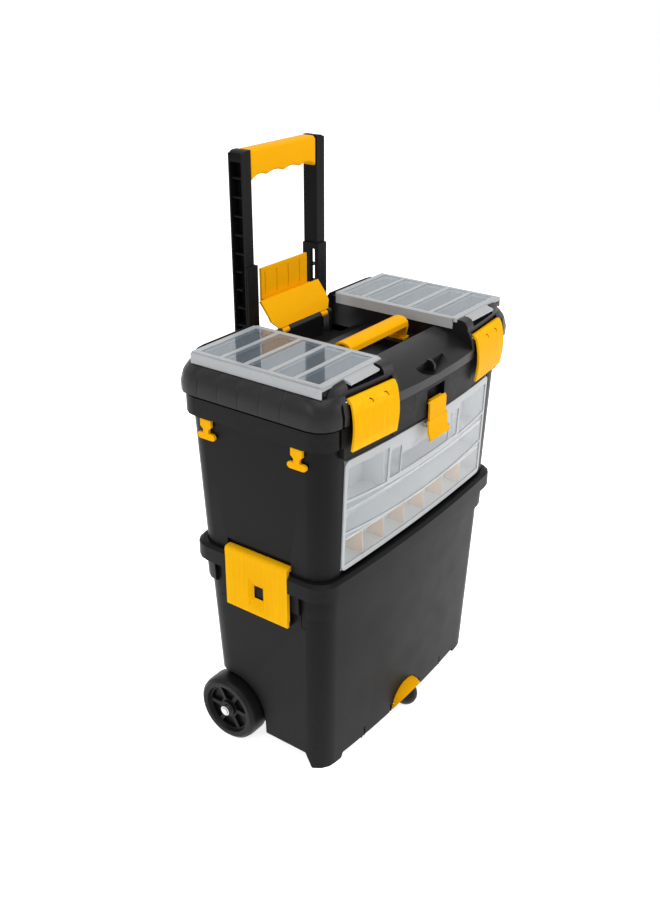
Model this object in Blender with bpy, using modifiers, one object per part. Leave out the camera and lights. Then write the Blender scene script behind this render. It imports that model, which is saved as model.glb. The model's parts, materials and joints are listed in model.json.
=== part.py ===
# Rolling tool box: a wheeled lower bin, an upper box with organisers, and a telescopic pull handle.
# Metres. +X is the right-hand side seen from the front, -Y is the front, +Z is up, the floor is z = 0.
import math

import bmesh
import bpy
from mathutils import Matrix, Vector

# Shared fits: FAR clears the whole box, WELD lets fused shapes run together, HAIR keeps faces apart
TOUCH_GAP = 0.0003
RUN_GAP = 0.0006
SWING_GAP = 0.0012
OVERCUT = 0.02
FAR = 0.3
WELD = 0.001
HAIR = 0.0005
CORNER_RADIUS = 0.030
CORNER_STEPS = 4
BOW_STEPS = 8
ROUND_STEPS = 24
PIN_STEPS = 14

# Lower bin
BIN_BASE_WIDTH = 0.4004
BIN_BASE_DEPTH = 0.188
BIN_FLARE = 0.0192
BIN_WALL_DEPTH = 0.207
BIN_BOW = 0.008
BIN_WALL = 0.003
BIN_UNDERSIDE = 0.0245
BIN_SKIRT_BOTTOM = 0.0085
BIN_SKIRT = 0.004
BIN_BAND_BOTTOM = 0.263
BIN_BAND_STEP = 0.0040
BIN_LIP_BOTTOM = 0.297
BIN_LIP_STEP = 0.0118
BIN_RIM_TOP = 0.323
BIN_RIM_ROUND = 0.004
BIN_BAND_EDGE = 0.002
FLOOR_STEP = 0.0008
SKID_BOW = 0.4
CLAMP_POCKET_DROP = 0.030
CLAMP_POCKET_REACH = 0.050
TUB_SEAT_DEPTH = 0.010
FOOT_LENGTH = 0.046
FOOT_DEPTH = 0.030
FOOT_FLARE = 0.009
SKID_WIDTH = 0.009
SKID_DROP = 0.0045
SKID_OFFSETS = (0.040, 0.105)
SKID_SLIT = 0.003
SIDE_SLOT_WIDTH = 0.012
SIDE_SLOT_HEIGHT = 0.055
SIDE_SLOT_DEPTH = 0.0052
SIDE_SLOT_OFFSET = 0.072

# Rear wheels
WHEEL_RADIUS = 0.0504
WHEEL_WIDTH = 0.036
WHEEL_STANDOUT = 0.0203
WHEEL_Y = 0.0656
WHEEL_WELL_GAP = 0.008
WHEEL_RIM = 0.013
WHEEL_WEB = 0.006
WHEEL_WEB_INSET = 0.006
WHEEL_HUB_RADIUS = 0.012
WHEEL_WINDOWS = 6
WHEEL_WINDOW_INNER = 0.0150
WHEEL_WINDOW_OUTER = 0.0335
WHEEL_SPOKE = 0.0060
WHEEL_SHOULDER = (0.006, 0.010)
WHEEL_SHOULDER_MIDDLE = (0.0015, 0.004)
WHEEL_INNER_EDGE = (0.003, 0.006)
WHEEL_RIM_EDGE = 0.003
WHEEL_HUB_INSET = 0.002
AXLE_RADIUS = 0.005
AXLE_SEAT = 0.022
AXLE_STICKOUT = 0.0045
AXLE_BOSS_RADIUS = 0.013
PUSH_CAP_RADIUS = 0.0075
PUSH_CAP_HEIGHT = 0.005

# Front caster
CASTER_Y = -0.0970
HOOD_RADIUS = 0.0355
HOOD_WALL = 0.003
HOOD_BASE_Z = 0.010
HOOD_RIM_FOOT_Y = -0.0964
HOOD_RIM_SLOPE = 1.57
CASTER_WELL_GAP = 0.0015
CASTER_WHEEL_RADIUS = 0.0200
CASTER_WHEEL_WIDTH = 0.034
CASTER_TRAIL = 0.005
CASTER_EAR_X = 0.0200
CASTER_EAR = 0.0085
CASTER_FLOOR_GAP = 0.0006
CASTER_AXLE_RADIUS = 0.0025
CASTER_STEM_RADIUS = 0.004
CASTER_STEM_SEAT = 0.012
CASTER_BOSS_RADIUS = 0.0088
CASTER_EAR_FRONT = 0.004
CASTER_EAR_REAR = 0.016
CASTER_EAR_TOP = 0.0085
CASTER_CROWN = 60

# Pull handle and its sleeves
RAIL_INNER_X = 0.0698
RAIL_WIDTH = 0.0171
RAIL_FRONT_Y = 0.1144
RAIL_DEPTH = 0.0236
RAIL_WALL = 0.0026
RAIL_TOP = 0.8195
RAIL_BOTTOM = 0.445
RAIL_RIB_PITCH = 0.0247
RAIL_RIB_COUNT = 13
RAIL_RIB = 0.0022
RAIL_CORNER = 0.010
RAIL_CAP_HEIGHT = 0.014
RAIL_CAP_LAP = 0.003
RAIL_FIRST_RIB = 0.036
RAIL_RIB_INSET = 0.003
RAIL_WINDOW_BOTTOM = 0.612
RAIL_WINDOW_TOP = 0.662
RAIL_WINDOW = 0.007
SLEEVE_WALL = 0.003
SLEEVE_TOP = 0.670
SLEEVE_BOTTOM = 0.085
SLEEVE_BACK_TOP = 0.556
SLEEVE_TIE_BOTTOM = (0.110, 0.245)
SLEEVE_TIE_HEIGHT = 0.040
SLEEVE_TIE = 0.004
PAD_MARGIN = 0.004
HANDLE_CORE_HEIGHT = 0.020
HANDLE_CORE_DEPTH = 0.012
GRIP_HEIGHT = 0.036
GRIP_DEPTH = 0.0226
GRIP_WAVE = 0.0032
GRIP_WAVES = 4
GRIP_WAVE_STEPS = 6
GRIP_ROUND = 0.004
GRIP_END_DROP = 0.006
SCREW_RADIUS = 0.0022
SCREW_HEAD_RADIUS = 0.0045
SCREW_HEAD = 0.0025
SCREW_LENGTH = 0.009
SCREW_OFFSET = 0.040

# Side clamps
CLAMP_WIDTH = 0.105
CLAMP_STANDOUT = 0.0115
CLAMP_PLATE = 0.0042
CLAMP_BODY = 0.0058
CLAMP_BODY_Z = 0.2515
CLAMP_BODY_SLOPE = 0.002
CLAMP_ARM = 0.0028
CLAMP_PIN_INSET = 0.001
CLAMP_TOP = 0.3330
CLAMP_ROUND = 0.0052
CLAMP_GROOVE_RISE = 0.0085
CLAMP_BOTTOM = 0.2428
CLAMP_HOOK = 0.006
CLAMP_HOOK_REACH = 0.0036
CLAMP_PIN_STANDOUT = 0.0037
CLAMP_PIN_Z = 0.2460
CLAMP_PIN_RADIUS = 0.0015
CLAMP_KNUCKLE = 0.0030
CLAMP_LUG_WIDTH = 0.007
CLAMP_FUNNEL = (0.0132, 0.0215)
CLAMP_HOLE = (0.0072, 0.0090)
CLAMP_FUNNEL_Z = 0.2748

# Upper tub
TUB_SPREAD = 0.0048
TUB_BASE_DEPTH = 0.2120
TUB_FLARE = 0.0128
TUB_WALL_DEPTH = 0.2248
TUB_BASE_BOW = 0.006
TUB_BOW = 0.011
TUB_WALL = 0.0028
TUB_BAND_BOTTOM = 0.512
TUB_BAND_STEP = 0.0068
TUB_RIM_TOP = 0.5424
TUB_RIM_WALL = 0.004
BAND_BOW = 0.013
APRON_DROP = 0.014
APRON_INSET = 0.0286
APRON_TOP_GAP = 0.004
TUB_BAND_EDGE = 0.0015
HINGE_ROOT = 0.006
CLIP_SLOT_DEPTH = 0.009
HOOK_OFFSET = 0.073
HOOK_BAR = 0.029
HOOK_PLATE = 0.018
HOOK_NECK = 0.009
HOOK_HEIGHT = 0.028
HOOK_THICKNESS = 0.0045
HOOK_ROD = 0.009
HOOK_PLATE_DROP = 0.010
HOOK_NECK_DROP = 0.014

# Front organiser
NICHE_INSET = 0.0401
NICHE_BOTTOM = 0.3285
NICHE_TOP = 0.4885
NICHE_BACK_Y = -0.0745
ORGANISER_BASE_FRONT = 0.1085
ORGANISER_TOP_FRONT = 0.1140
ORGANISER_BASE_BOW = 0.005
ORGANISER_TOP_BOW = 0.010
ORGANISER_WALL = 0.0022
ORGANISER_COVER = 0.003
ORGANISER_LEVELS = 6
ORGANISER_CORNER = 0.008
ORGANISER_SHELVES = (0.044, 0.086)
ORGANISER_DIVIDERS = 6
ORGANISER_DIVIDER = 0.0018
ORGANISER_GRIP_WIDTH = 0.080
ORGANISER_DIVIDER_SETBACK = 0.0015
CLIP_WIDTH = 0.041
CLIP_FOOT_WIDTH = 0.048
CLIP_THICKNESS = 0.003
CLIP_TOP = 0.5205
CLIP_BOTTOM = 0.4660
CLIP_WAIST_Z = 0.4920
CLIP_SLOT_TOP = 0.5350
CLIP_SLOT_DROP = 0.010
CLIP_PIVOT_Z = 0.4805
CLIP_FRONT_Y = -0.1365
CLIP_FLARE = 0.006
CLIP_STANDOFF = 0.0036
CLIP_PIN_RADIUS = 0.0012
CLIP_EAR = 0.004
CLIP_EAR_INSET = 0.010
CLIP_EAR_HALF = 0.0028
CLIP_EYE_HALF = 0.0024
CLIP_HOOK = 0.007
CLIP_HOOK_INSET = 0.006
CLIP_HOOK_HEIGHT = 0.0045
CLIP_CURL = 0.002
CLIP_BEND = 0.009
CLIP_LAP = 0.004
CLIP_SHOULDER = 0.006
COVER_HINGE_Y = -0.1150

# Lid
LID_OVERHANG = 0.0208
LID_DEPTH = 0.2460
LID_SHOULDER_INSET = 0.0050
LID_SHOULDER_SETBACK = 0.0050
LID_EDGE_INSET = 0.0224
LID_EDGE_SETBACK = 0.0170
LID_TOP_INSET = 0.0300
LID_BULGE_Z = 0.556
LID_SHOULDER_Z = 0.5700
LID_EDGE_Z = 0.5802
LID_TOP = 0.5895
LID_SKIRT = 0.0085
LID_WALL = 0.003
LID_BULGE = 0.0006
LID_EDGE_STEP = (0.0014, 0.006, 0.003)
LID_CAVITY_SEAT = 0.0004
LID_GROOVE_TOP = 0.006
BROW_TOP = 0.5945
BROW_BACK_Y = -0.1070
BROW_REAR_Y = 0.1065
BROW_ROUND = 0.010
BROW_FOOT = 0.004
BROW_STEPS = 3
LID_FLOOR_BOTTOM = 0.5462
LID_FLOOR_TOP = 0.5495
LID_HINGE_Y = 0.1265
LID_HINGE_RADIUS = 0.0040
LID_HINGE_PIN = 0.0015
LID_HINGE_START = 0.112
LID_HINGE_LENGTH = 0.030
CHANNEL_HALF_WIDTH = 0.0912
CHANNEL_FLOOR = 0.5600
CHANNEL_FRONT_Y = -0.072
CHANNEL_STEP_Y = 0.040
RAIL_NOTCH_Y = 0.104
LANE_START_Y = 0.068
LANE_INNER_X = 0.0635
LANE_SIDE_CUT = 0.001
WELL_INNER_X = 0.0945
WELL_INSET = 0.0185
WELL_FRONT_Y = -0.0985
WELL_REAR_Y = 0.0915
WELL_COUNT = 5
WELL_DIVIDER = 0.0025
ROLL_FRONT_Z = 0.5545
ROLL_CROWN_Z = 0.5795
ROLL_STEPS = 5
FINGER_WELL_HALF_WIDTH = 0.050
FINGER_WELL_FRONT_Y = -0.062
FINGER_WELL_REAR_Y = 0.004
HASP_HALF_WIDTH = 0.034
HASP_HALF_HEIGHT = 0.0110
HASP_Z = 0.5645
HASP_BACK_Y = -0.1185
HASP_FIN = 0.0045
HASP_FIN_TOP = (0.006, 0.003)
HASP_FIN_NOSE = (0.010, 0.002)
HASP_FIN_FOOT = 0.011
HASP_FIN_ROOT = 0.004

# Latches
LATCH_INNER_X = 0.0985
LATCH_INSET = 0.0453
LATCH_YAW = 5.37
LATCH_TOP = 0.5757
LATCH_BOTTOM = 0.5080
LATCH_FRONT_Y = -0.1297
LATCH_BULGE = 0.0046
LATCH_FOOT_REACH = 0.0028
LATCH_THICKNESS = 0.003
LATCH_STEPS = 10
LATCH_TOP_ROLL = 0.0032
LATCH_ROLL_SHARE = 0.14
LATCH_PIVOT_Y = -0.1237
LATCH_PIVOT_Z = 0.5713
LATCH_PIN_RADIUS = 0.0015
LATCH_KNUCKLE = 0.0038
LATCH_PIN_SEAT = 0.003
LATCH_POCKET_TOP = 0.5790
LATCH_POCKET_Y = -0.1188
TUB_POCKET_Y = -0.1240
GROOVE_INSET = 0.0330
GROOVE_WIDTH = 0.0045
GROOVE_DEPTH = 0.004

# Organiser lids
ORG_INNER_X = 0.0925
ORG_INSET = 0.0125
ORG_FRONT_Y = -0.1055
ORG_REAR_Y = 0.0985
ORG_TOP = 0.5955
ORG_PANE = 0.0018
ORG_LIP = 0.0018
ORG_LIP_BOTTOM = 0.5808
ORG_TAB_SHIFT = 0.0023
ORG_TAB_WIDTH = 0.060
ORG_TAB_REACH = 0.012
ORG_TAB_DROP = 0.003
ORG_TAB_GAP = 0.003
ORG_TAB_ROOM = 0.004
ORG_TAB_BACK = 0.0025
ORG_TAB_FALL = 0.002
ORG_PANE_INSET = 0.003
ORG_PANE_EDGE = 0.002
ORG_PINTLE_INSET = 0.015
ORG_WEB_INSET = 0.0006
ORG_HINGE_Y = 0.1000
ORG_PINTLE_RADIUS = 0.0015

# Carry handle on the lid
CARRY_HALF_LENGTH = 0.0685
CARRY_REAR_Y = -0.0155
CARRY_DEPTH = 0.028
CARRY_TOP = 0.5920
CARRY_RISE = 0.0125
CARRY_WALL = 0.003
CARRY_LEG = 0.004
CARRY_FOOT_REACH = 0.005
CARRY_FOOT = 0.003
CARRY_STEPS = 8
CARRY_FULLNESS = 0.7
CARRY_LEG_TAPER = (0.92, 0.7)
CARRY_FOOT_SHARE = 0.85

# Lock flap behind the carry handle
FLAP_PIVOT_Y = 0.0855
FLAP_PIVOT_Z = 0.5780
FLAP_PIN_RADIUS = 0.0020
FLAP_KNUCKLE = 0.0050
FLAP_BARREL_HALF_LENGTH = 0.0355
FLAP_FOOT_WIDTH = 0.0150
FLAP_BOSS_WIDTH = 0.0075
FLAP_SIDE_GAP = 0.0008
FLAP_PIN_COVER = 0.0015
FLAP_HALF_WIDTH = 0.0645
FLAP_TOP_HALF_WIDTH = 0.0505
FLAP_KNEE = (0.0240, 0.0420)
FLAP_SHELF = (0.0350, 0.0395)
FLAP_TIP = (0.0350, 0.0820)
FLAP_CORNER = (0.0485, -0.0010)
FLAP_CORNER_RUN = 0.040
FLAP_SAG = 0.002
FLAP_LAP = (0.003, 0.005)
FLAP_LEDGE = 0.0008
FLAP_FOOT_HEEL = (0.006, 0.004)
FLAP_FOOT_ROOT = 0.010
FLAP_RIB_ENDS = (0.004, 0.006)
FLAP_RIB_START = 0.86
FLAP_THICKNESS = 0.0035
FLAP_RIBS = 4
FLAP_RIB_WIDTH = 0.0016
FLAP_RIB_DEPTH = 0.0010

BLACK = ("charcoal plastic", (0.030, 0.030, 0.032), 0.45, 0.0, 1.0)
YELLOW = ("yellow plastic", (0.90, 0.52, 0.012), 0.38, 0.0, 1.0)
CLEAR = ("frosted clear plastic", (0.72, 0.74, 0.76), 0.25, 0.0, 0.45)
BEIGE = ("beige plastic", (0.78, 0.58, 0.36), 0.50, 0.0, 1.0)
STEEL = ("zinc plated steel", (0.62, 0.63, 0.64), 0.30, 1.0, 1.0)
WHEEL_BLACK = ("black wheel plastic", (0.018, 0.018, 0.019), 0.60, 0.0, 1.0)

# Values that follow from those above
BIN_WALL_WIDTH = BIN_BASE_WIDTH + BIN_FLARE
TUB_BASE_WIDTH = BIN_WALL_WIDTH + TUB_SPREAD
TUB_WALL_WIDTH = TUB_BASE_WIDTH + TUB_FLARE
LID_WIDTH = TUB_WALL_WIDTH + LID_OVERHANG
LID_SHOULDER_WIDTH = LID_WIDTH - LID_SHOULDER_INSET
LID_EDGE_WIDTH = LID_WIDTH - LID_EDGE_INSET
LID_TOP_WIDTH = LID_WIDTH - LID_TOP_INSET
WHEEL_OUTER_X = BIN_BASE_WIDTH / 2 + WHEEL_STANDOUT
CLAMP_OUTER_X = BIN_WALL_WIDTH / 2 + CLAMP_STANDOUT
CLAMP_PIN_X = BIN_WALL_WIDTH / 2 + CLAMP_PIN_STANDOUT
APRON_HALF_LENGTH = TUB_WALL_WIDTH / 2 - APRON_INSET
NICHE_HALF_WIDTH = TUB_WALL_WIDTH / 2 - NICHE_INSET
LATCH_OUTER_X = LID_WIDTH / 2 - LATCH_INSET
GROOVE_X = LID_WIDTH / 2 - GROOVE_INSET
WELL_OUTER_X = LID_WIDTH / 2 - WELL_INSET
ORG_OUTER_X = LID_WIDTH / 2 - ORG_INSET
LATCH_CENTRE_X = (LATCH_INNER_X + LATCH_OUTER_X) / 2
ORG_TAB_CENTRE_X = LATCH_CENTRE_X + ORG_TAB_SHIFT
LID_SHOULDER_DEPTH = LID_DEPTH - LID_SHOULDER_SETBACK
LID_EDGE_DEPTH = LID_DEPTH - LID_EDGE_SETBACK
WHEEL_INNER_X = WHEEL_OUTER_X - WHEEL_WIDTH
WELL_WALL_X = WHEEL_INNER_X - SWING_GAP * 2
WHEEL_WELL_RADIUS = WHEEL_RADIUS + WHEEL_WELL_GAP
TUB_BASE_Z = BIN_RIM_TOP - TUB_SEAT_DEPTH
RAIL_OUTER_X = RAIL_INNER_X + RAIL_WIDTH
RAIL_REAR_Y = RAIL_FRONT_Y + RAIL_DEPTH
SLEEVE_INNER_X = RAIL_INNER_X - RUN_GAP - SLEEVE_WALL
SLEEVE_OUTER_X = RAIL_OUTER_X
SLEEVE_FRONT_Y = RAIL_FRONT_Y - RUN_GAP - SLEEVE_WALL
SLEEVE_REAR_Y = RAIL_REAR_Y + RUN_GAP + SLEEVE_WALL
PAD_Y = SLEEVE_FRONT_Y - TOUCH_GAP
PAD_HALF_WIDTH = SLEEVE_OUTER_X + PAD_MARGIN
LID_BOTTOM = TUB_RIM_TOP + TOUCH_GAP
LID_HINGE_Z = TUB_RIM_TOP + TOUCH_GAP * 0.5
CASTER_AXLE_Y = CASTER_Y - CASTER_TRAIL
CASTER_AXLE_Z = CASTER_WHEEL_RADIUS + CASTER_FLOOR_GAP
CASTER_WELL_RADIUS = HOOD_RADIUS + CASTER_WELL_GAP
CASTER_WELL_TOP = HOOD_BASE_Z + HOOD_RADIUS + CASTER_WELL_GAP
ORG_BOTTOM = LID_TOP + TOUCH_GAP
FOREMOST_Y = CLIP_FRONT_Y - CLIP_FLARE
FRAME_SHIFT = -(FOREMOST_Y + SLEEVE_REAR_Y) / 2


def clear_scene():
    for old in list(bpy.data.objects):
        bpy.data.objects.remove(old, do_unlink=True)


def new_collection(name):
    collection = bpy.data.collections.new(name)
    bpy.context.scene.collection.children.link(collection)
    return collection


def material_for(look):
    name, colour, roughness, metallic, alpha = look
    material = bpy.data.materials.get(name)
    if material:
        return material
    material = bpy.data.materials.new(name)
    material.use_nodes = True
    shader = material.node_tree.nodes["Principled BSDF"]
    shader.inputs["Base Color"].default_value = (*colour, 1.0)
    shader.inputs["Roughness"].default_value = roughness
    shader.inputs["Metallic"].default_value = metallic
    shader.inputs["Alpha"].default_value = alpha
    return material


def finish_mesh(name, mesh_data):
    bmesh.ops.recalc_face_normals(mesh_data, faces=mesh_data.faces)
    mesh = bpy.data.meshes.new(name)
    mesh_data.to_mesh(mesh)
    mesh_data.free()
    return mesh


def add_part(name, mesh_data, look, pivot=(0, 0, 0)):
    """A named piece whose mesh was drawn in the shared frame and whose origin is put on its pivot."""
    mesh = finish_mesh(name, mesh_data)
    mesh.transform(Matrix.Translation(-Vector(pivot)))
    mesh.materials.append(material_for(look))
    part = bpy.data.objects.new(name, mesh)
    part.location = pivot
    part.parent = frame_empty
    parts_collection.objects.link(part)
    return part


def add_cutter(name, mesh_data):
    cutter = bpy.data.objects.new(name, finish_mesh(name, mesh_data))
    cutter.parent = frame_empty
    cutter.hide_render = True
    cutter.display_type = "WIRE"
    cutters_collection.objects.link(cutter)
    return cutter


def boolean(target, cutter, operation="DIFFERENCE"):
    modifier = target.modifiers.new(cutter.name, "BOOLEAN")
    modifier.operation = operation
    modifier.solver = "EXACT"
    modifier.object = cutter


def cut(target, name, mesh_data):
    boolean(target, add_cutter(name, mesh_data))


def fuse(target, name, mesh_data):
    boolean(target, add_cutter(name, mesh_data), "UNION")


def smooth(part, angle=35):
    part.data.shade_smooth()
    part.data.set_sharp_from_angle(angle=math.radians(angle))


def boxes(*corner_pairs):
    """One mesh of axis-aligned boxes, each given by two opposite corners."""
    mesh_data = bmesh.new()
    for low, high in corner_pairs:
        made = bmesh.ops.create_cube(mesh_data, size=1.0)
        size = Vector(high) - Vector(low)
        middle = (Vector(high) + Vector(low)) / 2
        bmesh.ops.scale(mesh_data, vec=size, verts=made["verts"])
        bmesh.ops.translate(mesh_data, vec=middle, verts=made["verts"])
    return mesh_data


def rods(radius, axis, steps, *spans):
    """One mesh of round rods along X, Y or Z, each given by its start point and its length."""
    turn = {"X": Matrix.Rotation(math.pi / 2, 3, "Y"), "Y": Matrix.Rotation(-math.pi / 2, 3, "X"),
            "Z": Matrix.Identity(3)}[axis]
    step = {"X": Vector((1, 0, 0)), "Y": Vector((0, 1, 0)), "Z": Vector((0, 0, 1))}[axis]
    mesh_data = bmesh.new()
    for start, length in spans:
        made = bmesh.ops.create_cone(mesh_data, cap_ends=True, segments=steps, radius1=radius,
                                     radius2=radius, depth=length)
        bmesh.ops.rotate(mesh_data, cent=(0, 0, 0), matrix=turn, verts=made["verts"])
        bmesh.ops.translate(mesh_data, vec=Vector(start) + step * length / 2, verts=made["verts"])
    return mesh_data


def extruded(outline, axis, low, high, mesh_data=None):
    """A flat outline pushed along an axis: (y, z) points along X, (x, z) along Y, (x, y) along Z."""
    mesh_data = mesh_data or bmesh.new()
    place = {"X": lambda a, b: (low, a, b), "Y": lambda a, b: (a, low, b), "Z": lambda a,
             b: (a, b, low)}[axis]
    push = {"X": (high - low, 0, 0), "Y": (0, high - low, 0), "Z": (0, 0, high - low)}[axis]
    face = mesh_data.faces.new([mesh_data.verts.new(place(a, b)) for a, b in outline])
    grown = bmesh.ops.extrude_face_region(mesh_data, geom=[face])
    moved = [item for item in grown["geom"] if isinstance(item, bmesh.types.BMVert)]
    bmesh.ops.translate(mesh_data, vec=push, verts=moved)
    return mesh_data


def arc(centre, radius, start, end, steps):
    """Points on an arc, angles in degrees from the first axis of the plane towards the second."""
    points = []
    for index in range(steps + 1):
        angle = math.radians(start + (end - start) * index / steps)
        points.append((centre[0] + radius * math.cos(angle), centre[1] + radius * math.sin(angle)))
    return points


def bowed_ring(width, depth, bow, radius=CORNER_RADIUS):
    """A rounded rectangle whose front edge bows forward, counter-clockwise from the front left."""
    reach = width / 2 - radius
    points = []
    for index in range(1, BOW_STEPS):
        x = reach * (2 * index / BOW_STEPS - 1)
        points.append((x, -depth / 2 - bow * (1 - (x / reach) ** 2)))
    for side_x, side_y, start in ((1, -1, -90), (1, 1, 0), (-1, 1, 90), (-1, -1, 180)):
        centre = (side_x * reach, side_y * (depth / 2 - radius))
        points += arc(centre, radius, start, start + 90, CORNER_STEPS)
    return points


def loft(sections):
    """A closed body through stacked rings, each given as its height and its outline."""
    mesh_data = bmesh.new()
    rings = [[mesh_data.verts.new((x, y, z)) for x, y in ring] for z, ring in sections]
    for lower, upper in zip(rings, rings[1:]):
        for index in range(len(lower)):
            after = (index + 1) % len(lower)
            mesh_data.faces.new((lower[index], lower[after], upper[after], upper[index]))
    mesh_data.faces.new(reversed(rings[0]))
    mesh_data.faces.new(rings[-1])
    return mesh_data


def thick_line(points, thickness):
    """The outline of a strip of even thickness whose front side follows the points."""
    back = []
    for index, point in enumerate(points):
        before = Vector(points[max(index - 1, 0)])
        after = Vector(points[min(index + 1, len(points) - 1)])
        along = (after - before).normalized()
        back.append((point[0] - along.y * thickness, point[1] + along.x * thickness))
    return list(points) + list(reversed(back))


def turned(name, profile, look, steps=ROUND_STEPS):
    """A closed profile of (radius, height) points turned about Z, listed down its outer side."""
    mesh = bpy.data.meshes.new(name)
    count = len(profile)
    mesh.from_pydata([(r, 0, h) for r, h in profile], [(i, (i + 1) % count) for i in range(count)], [])
    mesh.materials.append(material_for(look))
    part = bpy.data.objects.new(name, mesh)
    part.parent = frame_empty
    parts_collection.objects.link(part)
    screw = part.modifiers.new("turn", "SCREW")
    screw.steps = steps
    screw.render_steps = steps
    screw.use_merge_vertices = True
    screw.merge_threshold = 0.00001
    return part


def bin_size(z):
    share = z / BIN_BAND_BOTTOM
    width = BIN_BASE_WIDTH + (BIN_WALL_WIDTH - BIN_BASE_WIDTH) * share
    depth = BIN_BASE_DEPTH + (BIN_WALL_DEPTH - BIN_BASE_DEPTH) * share
    return width, depth


def bin_ring(z, outset):
    width, depth = bin_size(min(z, BIN_BAND_BOTTOM))
    return bowed_ring(width + 2 * outset, depth + 2 * outset, BIN_BOW)


def tub_size(z):
    share = (z - TUB_BASE_Z) / (TUB_BAND_BOTTOM - TUB_BASE_Z)
    width = TUB_BASE_WIDTH + (TUB_WALL_WIDTH - TUB_BASE_WIDTH) * share
    depth = TUB_BASE_DEPTH + (TUB_WALL_DEPTH - TUB_BASE_DEPTH) * share
    return width, depth, TUB_BASE_BOW + (TUB_BOW - TUB_BASE_BOW) * share


def tub_ring(z, outset, bow=None):
    width, depth, wall_bow = tub_size(min(z, TUB_BAND_BOTTOM))
    return bowed_ring(width + 2 * outset, depth + 2 * outset, wall_bow if bow is None else bow)


def wheel_well(outset):
    """The arch over a rear wheel, open below and to the rear, for both sides."""
    radius = WHEEL_WELL_RADIUS + outset
    outline = [(WHEEL_Y + radius, -OVERCUT)]
    outline += arc((WHEEL_Y, WHEEL_RADIUS), radius, 0, 180, 12)
    outline.append((WHEEL_Y - radius, -OVERCUT))
    wall = WELL_WALL_X - outset
    reach = BIN_BASE_WIDTH / 2 + 2 * OVERCUT
    mesh_data = extruded(outline, "X", wall, reach)
    return extruded(outline, "X", -reach, -wall, mesh_data)


def caster_well(outset):
    """The round, domed recess that the caster turns in."""
    radius = CASTER_WELL_RADIUS + outset
    sections = [(-OVERCUT, radius), (HOOD_BASE_Z, radius)]
    for angle in (20, 40, 58, 74):
        sections.append((HOOD_BASE_Z + radius * math.sin(math.radians(angle)),
                         radius * math.cos(math.radians(angle))))
    return loft([(z, arc((0, CASTER_Y), size, 0, 360 - 360 / ROUND_STEPS, ROUND_STEPS - 1)) for z,
                 size in sections])


def bin_cavity():
    """The bin's inner space, with room left for the wheel arches, the caster and the axle bosses."""
    floor = BIN_UNDERSIDE + BIN_WALL
    seat = TUB_BASE_Z - TOUCH_GAP
    pocket = bowed_ring(TUB_BASE_WIDTH + 2 * SWING_GAP, TUB_BASE_DEPTH + 2 * SWING_GAP, TUB_BASE_BOW)
    cavity = add_cutter("bin_cavity", loft([
        (floor, bin_ring(floor, -BIN_WALL)),
        (BIN_BAND_BOTTOM, bin_ring(BIN_BAND_BOTTOM, -BIN_WALL)),
        (seat, bin_ring(BIN_BAND_BOTTOM, -BIN_WALL)),
        (seat, pocket),
        (BIN_RIM_TOP + OVERCUT, pocket)]))
    cut(cavity, "wheel_arches", wheel_well(BIN_WALL))
    cut(cavity, "caster_arch", caster_well(BIN_WALL))
    boss_length = AXLE_SEAT + BIN_WALL
    inner = WELL_WALL_X - boss_length
    cut(cavity, "axle_bosses", rods(AXLE_BOSS_RADIUS, "X", ROUND_STEPS,
                                    ((inner, WHEEL_Y, WHEEL_RADIUS), boss_length),
                                    ((-WELL_WALL_X, WHEEL_Y, WHEEL_RADIUS), boss_length)))
    stem_top = CASTER_WELL_TOP + CASTER_STEM_SEAT + BIN_WALL
    cut(cavity, "stem_boss", rods(CASTER_BOSS_RADIUS, "Z", PIN_STEPS,
                                  ((0, CASTER_Y, HOOD_BASE_Z), stem_top - HOOD_BASE_Z)))
    return cavity


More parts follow.
